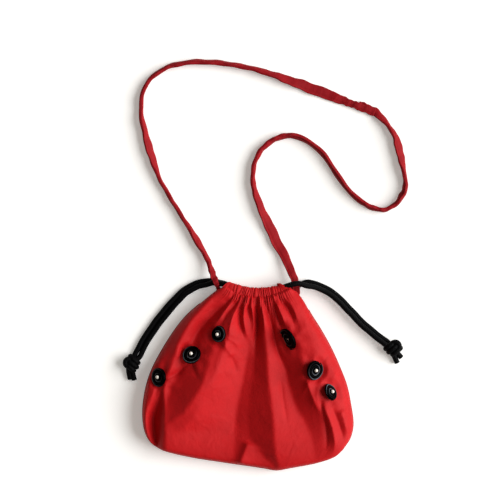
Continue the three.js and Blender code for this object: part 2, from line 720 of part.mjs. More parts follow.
// Rosette: a rolled strip wound in a flat spiral, on a small sewn tack, with a dip for its bead
function rosetteBody() {
  const sides = 14;
  const topRings = 7;
  const beadSeat = beadDiameter / 2;
  const rings = [
    [tackRadius, () => 0],
    [tackRadius, () => tackHeight],
    [rosetteRadius - rosetteRidge, () => tackHeight],
    [rosetteRadius, () => tackHeight + rosetteThickness / 2],
  ];
  for (const step of shares(topRings)) {
    const radius = THREE.MathUtils.lerp(rosetteRadius - rosetteRidge / 2, beadSeat, step);
    const ridge = step < 1 ? rosetteRidge : 0;
    const level = (turn) =>
      tackHeight + rosetteThickness - rosetteRidge +
      ridge * Math.abs(Math.sin(Math.PI * (radius / rosetteTurnPitch - turn)));
    rings.push([radius, level]);
  }
  const rows = rings.map(([radius, level]) =>
    shares(sides).slice(0, -1).map((turn) => {
      const angle = 2 * Math.PI * turn;
      return [radius * Math.cos(angle), radius * Math.sin(angle), level(turn)];
    }),
  );
  return loft(rows);
}

// Assembly
const bag = new THREE.Group();
function addPiece(name, geometry, material, parent = bag) {
  const mesh = new THREE.Mesh(geometry, material);
  mesh.name = name;
  parent.add(mesh);
  return mesh;
}

addPiece("front_panel", frontPanel, redCloth);
addPiece("back_panel", backPanel, redCloth);
addPiece("drawcord_left", cordTube(leftCordPoints, cordDiameter, cordSides, cordSteps), blackCord);
addPiece("drawcord_right", cordTube(rightCordPoints, cordDiameter, cordSides, cordSteps), blackCord);
addPiece("knot_left", knotBody(leftKnot, leftCordPoints), blackCord);
addPiece("knot_right", knotBody(rightKnot, rightCordPoints), blackCord);
addPiece("strap_left_length", strapBand(leftStrapRoute, 46), redStrap);
addPiece("strap_right_length", strapBand(rightStrapRoute, 48), redStrap);

for (const rosette of rosettes) {
  const seated = new THREE.Group();
  seated.quaternion.setFromUnitVectors(up, rosette.normal);
  seated.position.copy(rosette.centre);
  seated.position.addScaledVector(up, clothThickness / 2);
  seated.position.addScaledVector(rosette.normal, fitGap);
  bag.add(seated);
  addPiece(`rosette_${rosette.name}`, rosetteBody(), blackCloth, seated);
  const ball = new THREE.SphereGeometry(beadDiameter / 2, 8, 6);
  const bead = addPiece(`bead_${rosette.name}`, ball, pearl, seated);
  bead.position.z = tackHeight + rosetteThickness - rosetteRidge + beadDiameter / 2 + fitGap;
}

export default bag;
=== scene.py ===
"""A gathered red cloth crossbody bag on its back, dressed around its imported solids.

Sizes are in millimetres until a mesh is made, and the meshes are in metres in the frame of the solids.
"""

from __future__ import annotations

import logging
import math
from dataclasses import dataclass, field
from enum import Enum
from typing import Callable, Sequence

import bmesh
import bpy
import numpy as np
from mathutils import Matrix, Vector


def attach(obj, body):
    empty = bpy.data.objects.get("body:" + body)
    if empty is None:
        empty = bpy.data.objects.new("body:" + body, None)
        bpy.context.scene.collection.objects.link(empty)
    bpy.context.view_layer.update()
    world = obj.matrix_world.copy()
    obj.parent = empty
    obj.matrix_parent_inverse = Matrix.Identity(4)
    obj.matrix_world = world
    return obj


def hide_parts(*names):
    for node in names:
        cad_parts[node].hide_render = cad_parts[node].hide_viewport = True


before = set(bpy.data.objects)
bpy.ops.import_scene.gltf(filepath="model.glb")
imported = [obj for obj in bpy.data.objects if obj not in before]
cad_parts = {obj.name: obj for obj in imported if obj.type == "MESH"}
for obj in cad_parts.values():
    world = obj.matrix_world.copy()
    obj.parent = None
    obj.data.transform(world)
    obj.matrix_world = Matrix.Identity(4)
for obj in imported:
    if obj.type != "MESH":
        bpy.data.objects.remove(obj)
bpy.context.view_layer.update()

MM = 0.001
WELD = 1e-6
BODY = "root"
log = logging.getLogger("bag")

Points = Sequence[Sequence[float]]
Placing = Callable[[np.ndarray, np.ndarray], np.ndarray]


class Slot(Enum):
    """Material slots."""

    RED_CLOTH = "red_cloth"
    RED_STRAP = "red_strap"
    BLACK_CORD = "black_cord"
    BLACK_CLOTH = "black_cloth"
    PEARL = "pearl"


class Side(Enum):
    """The two panels of the bag."""

    FRONT = 1
    BACK = -1


# Helpers


def smooth(a: float, b: float, value: np.ndarray) -> np.ndarray:
    """Smooth step from 0 at a to 1 at b."""
    t = np.clip((value - a) / (b - a), 0.0, 1.0)
    return t * t * (3 - 2 * t)


def lerp(a: np.ndarray, b: np.ndarray, share: np.ndarray) -> np.ndarray:
    """Value at a share of the way from a to b."""
    return a + (b - a) * share


def linear(hex_colour: str) -> tuple[float, float, float, float]:
    """Linear colour of an sRGB hex value.

    Args:
        hex_colour: six hex digits.

    Returns:
        Red, green, blue and alpha in linear light.
    """
    channels = []
    for start in (0, 2, 4):
        c = int(hex_colour[start:start + 2], 16) / 255
        channels.append(c / 12.92 if c <= 0.04045 else ((c + 0.055) / 1.055) ** 2.4)
    return (channels[0], channels[1], channels[2], 1.0)


class Route:
    """A smooth line through points, walked by share of its length."""

    def __init__(self, points: Points, steps: int = 24) -> None:
        """Samples the line.

        Args:
            points: places that the line passes.
            steps: samples between two places.
        """
        p = np.asarray(points, dtype=float)
        p = np.vstack([2 * p[0] - p[1], p, 2 * p[-1] - p[-2]])
        gaps = np.maximum(np.linalg.norm(np.diff(p, axis=0), axis=1) ** 0.5, 1e-6)
        t = np.linspace(0, 1, steps, endpoint=False)[:, None]
        parts = []
        for i in range(1, len(p) - 2):
            d0, d1, d2 = gaps[i - 1], gaps[i], gaps[i + 1]
            a = (p[i] - p[i - 1]) / d0 - (p[i + 1] - p[i - 1]) / (d0 + d1) + (p[i + 1] - p[i]) / d1
            b = (p[i + 1] - p[i]) / d1 - (p[i + 2] - p[i]) / (d1 + d2) + (p[i + 2] - p[i + 1]) / d2
            m0, m1 = a * d1, b * d1
            c2 = -3 * p[i] + 3 * p[i + 1] - 2 * m0 - m1
            c3 = 2 * p[i] - 2 * p[i + 1] + m0 + m1
            parts.append(p[i] + m0 * t + c2 * t ** 2 + c3 * t ** 3)
        self.samples = np.vstack([*parts, p[-2:-1]])
        steps_along = np.linalg.norm(np.diff(self.samples, axis=0), axis=1)
        self.lengths = np.concatenate([[0.0], np.cumsum(steps_along)])
        self.length = float(self.lengths[-1])

    def at(self, shares: np.ndarray) -> np.ndarray:
        """Finds points of the line.

        Args:
            shares: shares of its length.

        Returns:
            One point for each share.
        """
        where = np.asarray(shares, dtype=float) * self.length
        columns = [np.interp(where, self.lengths, column) for column in self.samples.T]
        return np.stack(columns, axis=-1)


@dataclass
class Band:
    """Frames along a line, from which tubes and bands are swept."""

    centre: np.ndarray
    across: np.ndarray
    face: np.ndarray

    @classmethod
    def along(cls, centre: np.ndarray) -> Band:
        """Makes frames that don't twist about a line.

        Args:
            centre: points of the line.

        Returns:
            The frames.
        """
        heading = np.gradient(centre, axis=0)
        heading /= np.linalg.norm(heading, axis=1)[:, None]
        side = np.cross([0.0, 0.0, 1.0], heading[0])
        if np.linalg.norm(side) < 1e-3:
            side = np.array([1.0, 0.0, 0.0])
        across = []
        for direction in heading:
            side = side - direction * side.dot(direction)
            side = side / np.linalg.norm(side)
            across.append(side)
        across = np.array(across)
        return cls(centre, across, np.cross(heading, across))

    def place(self, share: np.ndarray, a: np.ndarray, f: np.ndarray) -> np.ndarray:
        """Finds points beside the line.

        Args:
            share: shares of the way along its frames.
            a: offsets across the line.
            f: offsets along its face.

        Returns:
            The points.
        """
        where = share * (len(self.centre) - 1)
        spots = np.arange(len(self.centre))

        def mix(values: np.ndarray) -> np.ndarray:
            """Values between the frames."""
            return np.stack([np.interp(where, spots, column) for column in values.T], axis=-1)

        return mix(self.centre) + mix(self.across) * a[:, None] + mix(self.face) * f[:, None]


def add_node(
    tree: bpy.types.NodeTree, kind: str, values: dict | None = None, out: str | int = 0
) -> bpy.types.NodeSocket:
    """Adds a node.

    Args:
        tree: node tree that gets the node.
        kind: type of the node.
        values: attribute names, or input names or numbers, with a value or the socket that feeds them.
        out: name or number of the output that is wanted.

    Returns:
        That output.
    """
    node = tree.nodes.new(kind)
    for key, value in (values or {}).items():
        if isinstance(value, bpy.types.NodeSocket):
            tree.links.new(value, node.inputs[key])
        elif isinstance(key, str) and hasattr(node, key):
            setattr(node, key, value)
        else:
            node.inputs[key].default_value = value
    return node.outputs[out]


def wave_scale(period: float) -> float:
    """Scale of a wave texture whose bands are a period apart on a map in millimetres."""
    return 2 * math.pi / (20 * period)


# Finishes, with sizes and depths in millimetres


@dataclass(frozen=True)
class Finish:
    """A finish that a piece can have."""

    name: str

    def surface(self, tree: bpy.types.NodeTree) -> bpy.types.NodeSocket:
        """Shader of the finish, which each kind of finish builds."""
        raise NotImplementedError

    def material(self) -> bpy.types.Material:
        """Makes the material, or finds the one that was made before.

        Returns:
            The node material.
        """
        material = bpy.data.materials.get(self.name)
        if material is None:
            material = bpy.data.materials.new(self.name)
            material.use_nodes = True
            tree = material.node_tree
            tree.nodes.clear()
            end = tree.nodes.new("ShaderNodeOutputMaterial")
            tree.links.new(self.surface(tree), end.inputs["Surface"])
        return material


@dataclass(frozen=True)
class WovenCotton(Finish):
    """Dyed cotton cloth. Woven sateen gives a soft glow on slopes and a faint thread grain.

    The threads are drawn about three times as coarse as real ones, so that they show.
    """

    colour: str
    worn: str
    thread: float = 0.9
    mottle: float = 14.0
    roughness: float = 0.62
    gloss: float = 0.1
    bend: float = 1.45
    grain: float = 0.3
    grain_depth: float = 0.15
    crumple: float = 0.34
    crumple_size: float = 14.0
    crumple_depth: float = 2.0
    wrinkle: float = 0.2
    wrinkle_size: float = 4.5
    wrinkle_depth: float = 1.2

    def surface(self, tree: bpy.types.NodeTree) -> bpy.types.NodeSocket:
        """Builds the cloth on the piece's UV map in millimetres.

        Args:
            tree: tree of the material.

        Returns:
            The shader.
        """
        uv = add_node(tree, "ShaderNodeUVMap")
        mottle = {"Scale": 1 / self.mottle, "Detail": 3.0, "Roughness": 0.6, "Vector": uv}
        cloudy = add_node(tree, "ShaderNodeTexNoise", mottle, "Fac")
        tone = add_node(tree, "ShaderNodeMapRange", {"From Min": 0.3, "From Max": 0.7, "Value": cloudy})
        dyes = {"data_type": "RGBA", 0: tone, 6: linear(self.colour), 7: linear(self.worn)}
        colour = add_node(tree, "ShaderNodeMix", dyes, 2)
        below = {}
        for strength, size, depth, detail, rough, distortion in (
            (self.crumple, self.crumple_size, self.crumple_depth, 2.0, 0.5, 0.8),
            (self.wrinkle, self.wrinkle_size, self.wrinkle_depth, 3.0, 0.6, 0.4),
        ):
            noise = {"Scale": 1 / size, "Detail": detail, "Roughness": rough, "Distortion": distortion}
            height = add_node(tree, "ShaderNodeTexNoise", {**noise, "Vector": uv}, "Fac")
            crease = {"Strength": strength, "Distance": depth * MM, "Height": height}
            below = {"Normal": add_node(tree, "ShaderNodeBump", {**crease, **below})}
        scale = wave_scale(self.thread)
        threads = []
        for direction in ("X", "Y"):
            wave = {"bands_direction": direction, "Scale": scale, "Distortion": 0.6, "Detail": 1.0}
            threads.append(add_node(tree, "ShaderNodeTexWave", {**wave, "Vector": uv}, "Fac"))
        weave = add_node(tree, "ShaderNodeMath", {"operation": "MULTIPLY", 0: threads[0], 1: threads[1]})
        grain = {"Strength": self.grain, "Distance": self.grain_depth * MM, "Height": weave}
        woven = add_node(tree, "ShaderNodeBump", {**grain, **below})
        looks = {"Roughness": self.roughness, "IOR": self.bend, "Specular IOR Level": self.gloss}
        looks.update({"Base Color": colour, "Normal": woven})
        return add_node(tree, "ShaderNodeBsdfPrincipled", looks)


@dataclass(frozen=True)
class BraidedCord(Finish):
    """Black braided cord. Thin cool highlights are painted into the colour along the crossing strands of
    the braid.
    """

    name: str = "braided_black_cord"
    colour: str = "020203"
    # Colour of the painted highlight on the braid's strands
    lit: str = "060608"
    strand: float = 2.1
    slant: float = 0.6
    relief: float = 0.5
    relief_depth: float = 0.4
    roughness: float = 0.6
    gloss: float = 0.06
    bend: float = 1.5

    def surface(self, tree: bpy.types.NodeTree) -> bpy.types.NodeSocket:
        """Builds the cord on the piece's UV map in millimetres.

        Args:
            tree: tree of the material.

        Returns:
            The shader.
        """
        uv = add_node(tree, "ShaderNodeUVMap")
        waves = []
        for turn in (self.slant, -self.slant):
            turned = add_node(tree, "ShaderNodeMapping", {"Rotation": (0.0, 0.0, turn), "Vector": uv})
            wave = {"bands_direction": "X", "Scale": wave_scale(self.strand), "Distortion": 0.2}
            waves.append(add_node(tree, "ShaderNodeTexWave", {**wave, "Vector": turned}, "Fac"))
        braid = add_node(tree, "ShaderNodeMath", {"operation": "MAXIMUM", 0: waves[0], 1: waves[1]})
        dyes = {"data_type": "RGBA", 0: braid, 6: linear(self.colour), 7: linear(self.lit)}
        colour = add_node(tree, "ShaderNodeMix", dyes, 2)
        relief = {"Strength": self.relief, "Distance": self.relief_depth * MM, "Height": braid}
        raised = add_node(tree, "ShaderNodeBump", relief)
        looks = {"Roughness": self.roughness, "IOR": self.bend, "Specular IOR Level": self.gloss}
        looks.update({"Base Color": colour, "Normal": raised})
        return add_node(tree, "ShaderNodeBsdfPrincipled", looks)


@dataclass(frozen=True)
class RolledCloth(Finish):
    """Black cloth rolled into a cord. A lighter colour is painted along the top of the roll as a painted
    highlight, broken up by noise.
    """

    name: str = "rolled_black_cloth"
    colour: str = "020203"
    # Colour of the painted highlight along the top of the roll, and the size of the noise that breaks it up
    highlight_crest: str = "7c7f88"
    highlight_mottle: float = 2.5
    thread: float = 0.8
    grain: float = 0.3
    grain_depth: float = 0.15
    roughness: float = 0.36
    gloss: float = 0.018
    bend: float = 1.5

    def surface(self, tree: bpy.types.NodeTree) -> bpy.types.NodeSocket:
        """Builds the cloth on the piece's UV map in millimetres, with the painted highlight placed by the
        piece's attribute.

        Args:
            tree: tree of the material.

        Returns:
            The shader.
        """
        uv = add_node(tree, "ShaderNodeUVMap")
        highlight_crest = add_node(tree, "ShaderNodeAttribute", {"attribute_name": "highlight_crest"}, "Fac")
        highlight_breakup = {"Scale": 1 / self.highlight_mottle, "Detail": 2.0, "Vector": uv}
        noise = add_node(tree, "ShaderNodeTexNoise", highlight_breakup, "Fac")
        share = add_node(tree, "ShaderNodeMath", {"operation": "MULTIPLY", 0: highlight_crest, 1: noise})
        dyes = {"data_type": "RGBA", 0: share, 6: linear(self.colour), 7: linear(self.highlight_crest)}
        colour = add_node(tree, "ShaderNodeMix", dyes, 2)
        wave = {"bands_direction": "DIAGONAL", "Scale": wave_scale(self.thread), "Distortion": 0.4}
        weave = add_node(tree, "ShaderNodeTexWave", {**wave, "Vector": uv}, "Fac")
        grain = {"Strength": self.grain, "Distance": self.grain_depth * MM, "Height": weave}
        woven = add_node(tree, "ShaderNodeBump", grain)
        looks = {"Roughness": self.roughness, "IOR": self.bend, "Specular IOR Level": self.gloss}
        looks.update({"Base Color": colour, "Normal": woven})
        return add_node(tree, "ShaderNodeBsdfPrincipled", looks)


@dataclass(frozen=True)
class PearlCoat(Finish):
    """Pearl lacquer on a plastic bead. A clear coat over a milky body gives a sharp small highlight."""

    name: str = "pearl_lacquer"
    colour: str = "f4f1ea"
    warm: str = "e9dfd2"
    swirl: float = 3.0
    roughness: float = 0.3
    bend: float = 1.55
    coat: float = 0.6
    coat_roughness: float = 0.08

    def surface(self, tree: bpy.types.NodeTree) -> bpy.types.NodeSocket:
        """Builds the lacquer on Object coordinates.

        Args:
            tree: tree of the material.

        Returns:
            The shader.
        """
        spot = add_node(tree, "ShaderNodeTexCoord", out="Object")
        swirling = {"Scale": 1 / (self.swirl * MM), "Detail": 1.0, "Vector": spot}
        swirl = add_node(tree, "ShaderNodeTexNoise", swirling, "Fac")
        dyes = {"data_type": "RGBA", 0: swirl, 6: linear(self.colour), 7: linear(self.warm)}
        looks = {"Roughness": self.roughness, "IOR": self.bend}
        looks.update({"Coat Weight": self.coat, "Coat Roughness": self.coat_roughness})
        looks["Base Color"] = add_node(tree, "ShaderNodeMix", dyes, 2)
        return add_node(tree, "ShaderNodeBsdfPrincipled", looks)


@dataclass(frozen=True)
class PaperSweep(Finish):
    """Matt white paper of a studio table, which keeps the shadows and reads as white around them."""

    name: str = "white_paper"
    colour: str = "fbfbfa"
    glow: str = "ffffff"
    lift: float = 0.24
    roughness: float = 0.9
    gloss: float = 0.1

    def surface(self, tree: bpy.types.NodeTree) -> bpy.types.NodeSocket:
        """Builds the paper, lifted a little where it is seen.

        Args:
            tree: tree of the material.

        Returns:
            The shader.
        """
        looks = {"Roughness": self.roughness, "Specular IOR Level": self.gloss}
        looks["Base Color"] = linear(self.colour)
        paper = add_node(tree, "ShaderNodeBsdfPrincipled", looks)
        rays = add_node(tree, "ShaderNodeLightPath").node.outputs
        seen = rays["Is Camera Ray"]
        for ray in ("Is Glossy Ray", "Is Transmission Ray"):
            seen = add_node(tree, "ShaderNodeMath", {"operation": "MAXIMUM", 0: seen, 1: rays[ray]})
        lift = add_node(tree, "ShaderNodeMath", {"operation": "MULTIPLY", 0: seen, 1: self.lift})
        glow = add_node(tree, "ShaderNodeEmission", {"Color": linear(self.glow), "Strength": lift})
        return add_node(tree, "ShaderNodeAddShader", {0: paper, 1: glow})


RED_SATEEN = WovenCotton("red_cotton_sateen", "b90e14", "af0c12", roughness=0.63, gloss=0.2)
RED_TAPE = WovenCotton(
    "red_cotton_tape", "96151c", "84121a", thread=0.8, mottle=9.0, crumple=0.6, wrinkle=0.42
)
# Dyed a little darker than the bag's cloth: painted shade, a thin dark line along the seam's edge
RED_SEAM = WovenCotton("red_cotton_seam_edge", "a80d13", "980a10", thread=0.8, mottle=6.0)


# Mesh making


def grid_piece(
    name: str,
    columns: int,
    rows: int,
    place: Placing,
    uv_size: tuple[float, float],
    closed: bool = False,
    capped: bool = True,
    highlight_crest: Placing | None = None,
) -> bpy.types.Object:
    """Lays a grid along a surface.

    Args:
        name: name of the piece.
        columns: cells along the first share.
        rows: cells along the second share.
        place: gives points in millimetres for two arrays of shares.
        uv_size: size of the grid's map in millimetres.
        closed: joins the second share's two edges into a tube.
        capped: fills the ends of a tube.
        highlight_crest: gives a value for the attribute of that name.

    Returns:
        The new object, at the origin.
    """
    bm = bmesh.new()
    uv_layer = bm.loops.layers.uv.new("map")
    bmesh.ops.create_grid(bm, x_segments=columns, y_segments=rows, size=0.5, calc_uvs=True)
    shares = np.array([(v.co.x + 0.5, v.co.y + 0.5) for v in bm.verts])
    points = place(shares[:, 0], shares[:, 1]) * MM
    values = highlight_crest(shares[:, 0], shares[:, 1]) if highlight_crest else None
    layer = bm.verts.layers.float.new("highlight_crest") if highlight_crest else None
    for i, vert in enumerate(bm.verts):
        vert.co = points[i]
        if layer:
            vert[layer] = values[i]
    for face in bm.faces:
        for loop in face.loops:
            uv = loop[uv_layer].uv
            loop[uv_layer].uv = (uv[0] * uv_size[0], uv[1] * uv_size[1])
    if closed:
        bmesh.ops.remove_doubles(bm, verts=bm.verts, dist=WELD)
        if capped:
            rims = [edge for edge in bm.edges if edge.is_boundary]
            bmesh.ops.holes_fill(bm, edges=rims, sides=0)
        bmesh.ops.recalc_face_normals(bm, faces=bm.faces)
    return mesh_piece(name, bm)


def mesh_piece(name: str, bm: bmesh.types.BMesh) -> bpy.types.Object:
    """Makes an object of a bmesh, smooth shaded, at the origin.

    Args:
        name: name of the piece.
        bm: its shape, which is freed.

    Returns:
        The new object.
    """
    mesh = bpy.data.meshes.new(name)
    bm.to_mesh(mesh)
    bm.free()
    mesh.polygons.foreach_set("use_smooth", [True] * len(mesh.polygons))
    piece = bpy.data.objects.new(name, mesh)
    bpy.context.collection.objects.link(piece)
    return piece


def dress(piece: bpy.types.Object, kind: Finish, slot: Slot, *nodes: str) -> bpy.types.Object:
    """Gives a piece its finish and its body, and hides the solids that it stands for.

    Args:
        piece: the piece.
        kind: its finish.
        slot: its material slot, which is not used.
        nodes: names of the solids.

    Returns:
        The same piece.
    """
    piece.data.materials.append(kind.material())
    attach(piece, BODY)
    if nodes:
        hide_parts(*nodes)
    log.info("%s: %d faces", piece.name, len(piece.data.polygons))
    return piece


def solidify(piece: bpy.types.Object, thickness: float) -> None:
    """Gives a sheet its thickness, below its face.

    Args:
        piece: the sheet.
        thickness: in millimetres.
    """
    wall = piece.modifiers.new("thickness", "SOLIDIFY")
    wall.thickness = thickness * MM
    wall.offset = -1.0


def round_tube(
    name: str, points: np.ndarray, radius: float, steps: int, sides: int = 14
) -> bpy.types.Object:
    """Sweeps a round cord along a line.

    Args:
        name: name of the piece.
        points: points of the line in millimetres.
        radius: half its thickness.
        steps: cells along it.
        sides: cells round it.

    Returns:
        The new object.
    """
    band = Band.along(points)
    length = float(np.linalg.norm(np.diff(points, axis=0), axis=1).sum())

    def place(u: np.ndarray, v: np.ndarray) -> np.ndarray:
        """Points of the tube."""
        angle = 2 * math.pi * v
        return band.place(u, radius * np.cos(angle), radius * np.sin(angle))

    return grid_piece(name, steps, sides, place, (length, 2 * math.pi * radius), closed=True)


def lathe(profile: Points, steps: int) -> bmesh.types.BMesh:
    """Turns a profile about the z axis.

    Args:
        profile: points in millimetres.
        steps: cells in a full turn.

    Returns:
        The turned shape in metres.
    """
    bm = bmesh.new()
    verts = [bm.verts.new([c * MM for c in point]) for point in profile]
    edges = [bm.edges.new(pair) for pair in zip(verts, verts[1:])]
    bmesh.ops.spin(
        bm,
        geom=[*verts, *edges],
        cent=(0, 0, 0),
        axis=(0, 0, 1),
        angle=2 * math.pi,
        steps=steps,
        use_merge=True,
    )
    return bm


def settle(bm: bmesh.types.BMesh, axes: np.ndarray, origin: np.ndarray) -> None:
    """Merges a turned shape, faces it outwards and puts it on its seat.

    Args:
        bm: the shape.
        axes: axes of the seat, as rows.
        origin: place of the seat in millimetres.
    """
    bmesh.ops.remove_doubles(bm, verts=bm.verts, dist=WELD)
    bmesh.ops.recalc_face_normals(bm, faces=bm.faces)
    turn = Matrix(axes.T.tolist()).to_4x4()
    move = Matrix.Translation(Vector(origin * MM))
    bmesh.ops.transform(bm, matrix=move @ turn, verts=bm.verts)


# Bag


FOLD_STEPS = 8
FADE_LEAD = 0.02
FADE_DEPTH = 0.9
SEAT_LEAN = 32.0


@dataclass(frozen=True)
class Fold:
    """A ridge, or a furrow where its height is negative, along a line on the front in millimetres.

    It reaches out to the left and right of the line, and fades over shares of it at both ends.
    """

    path: Points
    height: float
    left: float
    right: float
    power: float
    fade_in: float = 0.0
    fade_out: float = 0.4

    def relief(self, x: np.ndarray, y: np.ndarray) -> np.ndarray:
        """Finds the height that the fold adds.

        Args:
            x: places in plan.
            y: places in plan.

        Returns:
            Heights in millimetres.
        """
        line = Route(self.path, FOLD_STEPS).samples
        start, step = line[:-1], np.diff(line, axis=0)
        lengths = np.linalg.norm(step, axis=1)
        before = np.concatenate([[0.0], np.cumsum(lengths)[:-1]])
        nearest = np.full(x.shape, np.inf)
        signed = np.zeros(x.shape)
        along = np.zeros(x.shape)
        for (sx, sy), (dx, dy), length, run in zip(start, step, lengths, before):
            ox, oy = x - sx, y - sy
            share = np.clip((ox * dx + oy * dy) / length ** 2, 0, 1)
            distance = np.hypot(ox - dx * share, oy - dy * share)
            closer = distance < nearest
            nearest = np.where(closer, distance, nearest)
            signed = np.where(closer, dy * ox - dx * oy, signed)
            along = np.where(closer, (run + share * length) / lengths.sum(), along)
        reach = np.where(signed > 0, self.left, self.right)
        fade = 1 - FADE_DEPTH * smooth(1 - self.fade_out, 1, along)
        if self.fade_in:
            fade = fade * smooth(0, self.fade_in, along + FADE_LEAD)
        return self.height * fade * np.exp(-((nearest / reach) ** self.power))


@dataclass(frozen=True)
class Rosette:
    """A rosette's place on the front, as shares across and down, and its lean in degrees."""

    name: str
    across: float
    down: float
    lean: float
    toward: float
    size: float = 1.0
    seat: float = 0.9
    blend: float = 1.8
    sunk: float = 0.0

    def facing(self, lean: float) -> np.ndarray:
        """Finds a direction that leans to the rosette's side.

        Args:
            lean: degrees from straight up.

        Returns:
            The direction, of length 1.
        """
        lean, toward = math.radians(lean), math.radians(self.toward)
        flat = math.sin(lean)
        return np.array([flat * math.cos(toward), flat * math.sin(toward), math.cos(lean)])

    @property
    def normal(self) -> np.ndarray:
        """Direction that the rosette faces."""
        return self.facing(self.lean)

    @property
    def seat_normal(self) -> np.ndarray:
        """Direction that the cloth under it faces, which leans less than a steep rosette."""
        return self.facing(min(self.lean, SEAT_LEAN))


# Name, shares across and down, lean and its bearing, then size, seat, blend and sinking where they differ
ROSETTES = (
    Rosette("left_top", 0.271, 0.253, 28, 180),
    Rosette("left_middle", 0.167, 0.416, 32, 125, 1.16),
    Rosette("left_bottom", 0.056, 0.58, 42, 182, 1.13),
    Rosette("right_top", 0.775, 0.25, 62, 208, 1.36, 0.8, 2.2, 4.0),
    Rosette("right_middle", 0.8535, 0.458, 40, -12, 1.2, 0.9, 1.9),
    Rosette("right_bottom", 0.899, 0.608, 58, 28, 1.06, 0.7, 2.1),
)

# Crests and hollows of the broad folds, from left to right. Each point holds plan x and y and a height.
FOLD_LINES = (
    (
        (-60, 105, -1), (-93, 60, -2), (-108, 10, -2), (-108, -8, -1), (-117, -26, 1.5), (-121, -44, 3),
        (-121, -62, 3.4), (-115, -80, 1),
    ),
    (
        (-52, 105, -1), (-82, 62, -2), (-98, 20, -1), (-104, -8, -1), (-105.5, -22, -4),
        (-107.5, -32, -7), (-112.5, -46, -11.5), (-112.5, -60, -12.5), (-110, -76, -10), (-108, -84, -3),
    ),
    (
        (-44, 97, 1), (-54, 82, 2), (-64, 72, 3), (-71, 62, 4), (-82, 43, 4), (-87, 24, 3.5),
        (-94, 5, 4), (-101, -12, 1), (-101, -34, 2), (-101.5, -44, 4.5), (-101.5, -50, 6.5),
        (-101.5, -62, 7.4), (-103.5, -76, 6.4), (-104, -84, 4),
    ),
    (
        (-30, 97, -2), (-42, 82, -3.5), (-52, 72, -2), (-59, 62, -3), (-64, 43, -5.5), (-73, 34, -3),
        (-78, 22, -2), (-82, 5, -1.5), (-92, -14, -1), (-97, -28, 0.5), (-99, -41.5, 3.5), (-99, -49.5, 6),
        (-98, -56, 9), (-97.5, -64, 9.8), (-98, -76, 9.8), (-98, -84, 7.6),
    ),
    (
        (-22, 97, 1), (-27, 66, 5), (-30, 50, 6.5), (-42, 34, 8), (-46, 22, 9.8), (-51.5, 0, 12.6),
        (-57, -14, 13.6), (-66, -28, 13.6), (-76, -41.5, 12.4), (-87, -49.5, 10.4), (-93, -56, 9),
        (-94, -64, 9.4), (-94, -76, 9.2), (-94, -86, 7.2), (-94, -98, 4),
    ),
    (
        (-18, 97, 1), (-20, 66, 5), (-20, 50, 7), (-29, 34, 8.5), (-32, 22, 9.4), (-38, 5, 10.6),
        (-46, -10, 11), (-54, -24, 10.8), (-60, -38, 10.6), (-66, -50, 10), (-74, -58, 9.2),
        (-82, -64, 8.4), (-86, -76, 8.4), (-88, -86, 6.8), (-88, -98, 3.8),
    ),
    (
        (4, 97, -1), (4.5, 66, -4), (4, 50, -5.8), (1, 34, -8), (-2, 20, -9), (-6, 0, -10),
        (-9.5, -18, -10.4), (-13, -36, -10), (-15, -55, -8.2), (-15, -70, -6), (-16, -84, -3),
        (-18, -94, -1), (-20, -106, 0),
    ),
    (
        (10, 97, -1), (12, 66, -4), (11, 50, -5.5), (9.5, 34, -7.6), (8, 20, -8.2), (6.5, 0, -8.4),
        (3, -18, -8.2), (1, -36, -7.2), (0, -55, -5.6), (2, -70, -3.6), (8, -82, -2), (20, -94, -1),
        (33, -106, 0.5),
    ),
    (
        (14, 97, 0.5), (20, 62, 1.5), (21, 45, 0.5), (22.5, 28, 0.8), (24.5, 0, 0.6), (27, -24, 1.5),
        (29, -40, 4), (30.5, -56, 6.5), (31.5, -75, 8.5), (33, -92, 7), (37, -110, 1.5),
    ),
    (
        (26, 97, -0.5), (29, 62, -2.5), (32, 43, -5), (38, 26, -7), (45, 10, -10), (48, -8, -10),
        (53, -24, -9.5), (59, -40, -8.5), (67, -52, -7), (74, -66, -3.5), (78, -80, -1.5), (80, -97, -0.5),
    ),
    (
        (36, 97, 0.5), (46, 62, 3), (55, 50, 4), (60, 38, 4), (64, 20, 2), (66, 0, 1), (71, -12, 1),
        (76, -26, 1.5), (86, -38, 1.5), (95, -50, 1), (99, -62, 0.5), (100, -76, 0), (100, -94, 0),
    ),
    ((56, 97, 1), (74, 64, 3), (90, 36, 1.5), (104, 0, -1), (111, -30, -2), (116, -60, -2), (114, -84, -1)),
)
# Shifts in plan over which a crease is averaged, each with its weight
CREASE_ROUNDING = (
    ((0, 0), 0.2), ((2.6, 0), 0.14), ((-2.6, 0), 0.14), ((0, 3), 0.1), ((0, -3), 0.1),
    ((1.6, 2.4), 0.08), ((-1.6, 2.4), 0.08), ((1.6, -2.4), 0.08), ((-1.6, -2.4), 0.08),
)


def broad_relief(x: np.ndarray, y: np.ndarray) -> np.ndarray:
    """Finds the height of the broad folds: even slopes between the fold lines, with rounded creases.

    Args:
        x: places in plan.
        y: places in plan.

    Returns:
        Heights in millimetres.
    """
    total = np.zeros(x.shape)
    for (shift_x, shift_y), weight in CREASE_ROUNDING:
        xs, ys = x + shift_x, y + shift_y
        places, heights = [], []
        for line in FOLD_LINES:
            lx, ly, lh = np.array(line[::-1], dtype=float).T
            places.append(np.interp(ys, ly, lx))
            heights.append(np.interp(ys, ly, lh))
        level = np.where(xs < places[0], heights[0], heights[-1])
        for i in range(len(places) - 1):
            width = np.maximum(places[i + 1] - places[i], 0.5)
            share = (xs - places[i]) / width
            inside = (share >= 0) & (share <= 1)
            level = np.where(inside, lerp(heights[i], heights[i + 1], share), level)
        total += weight * level
    return total


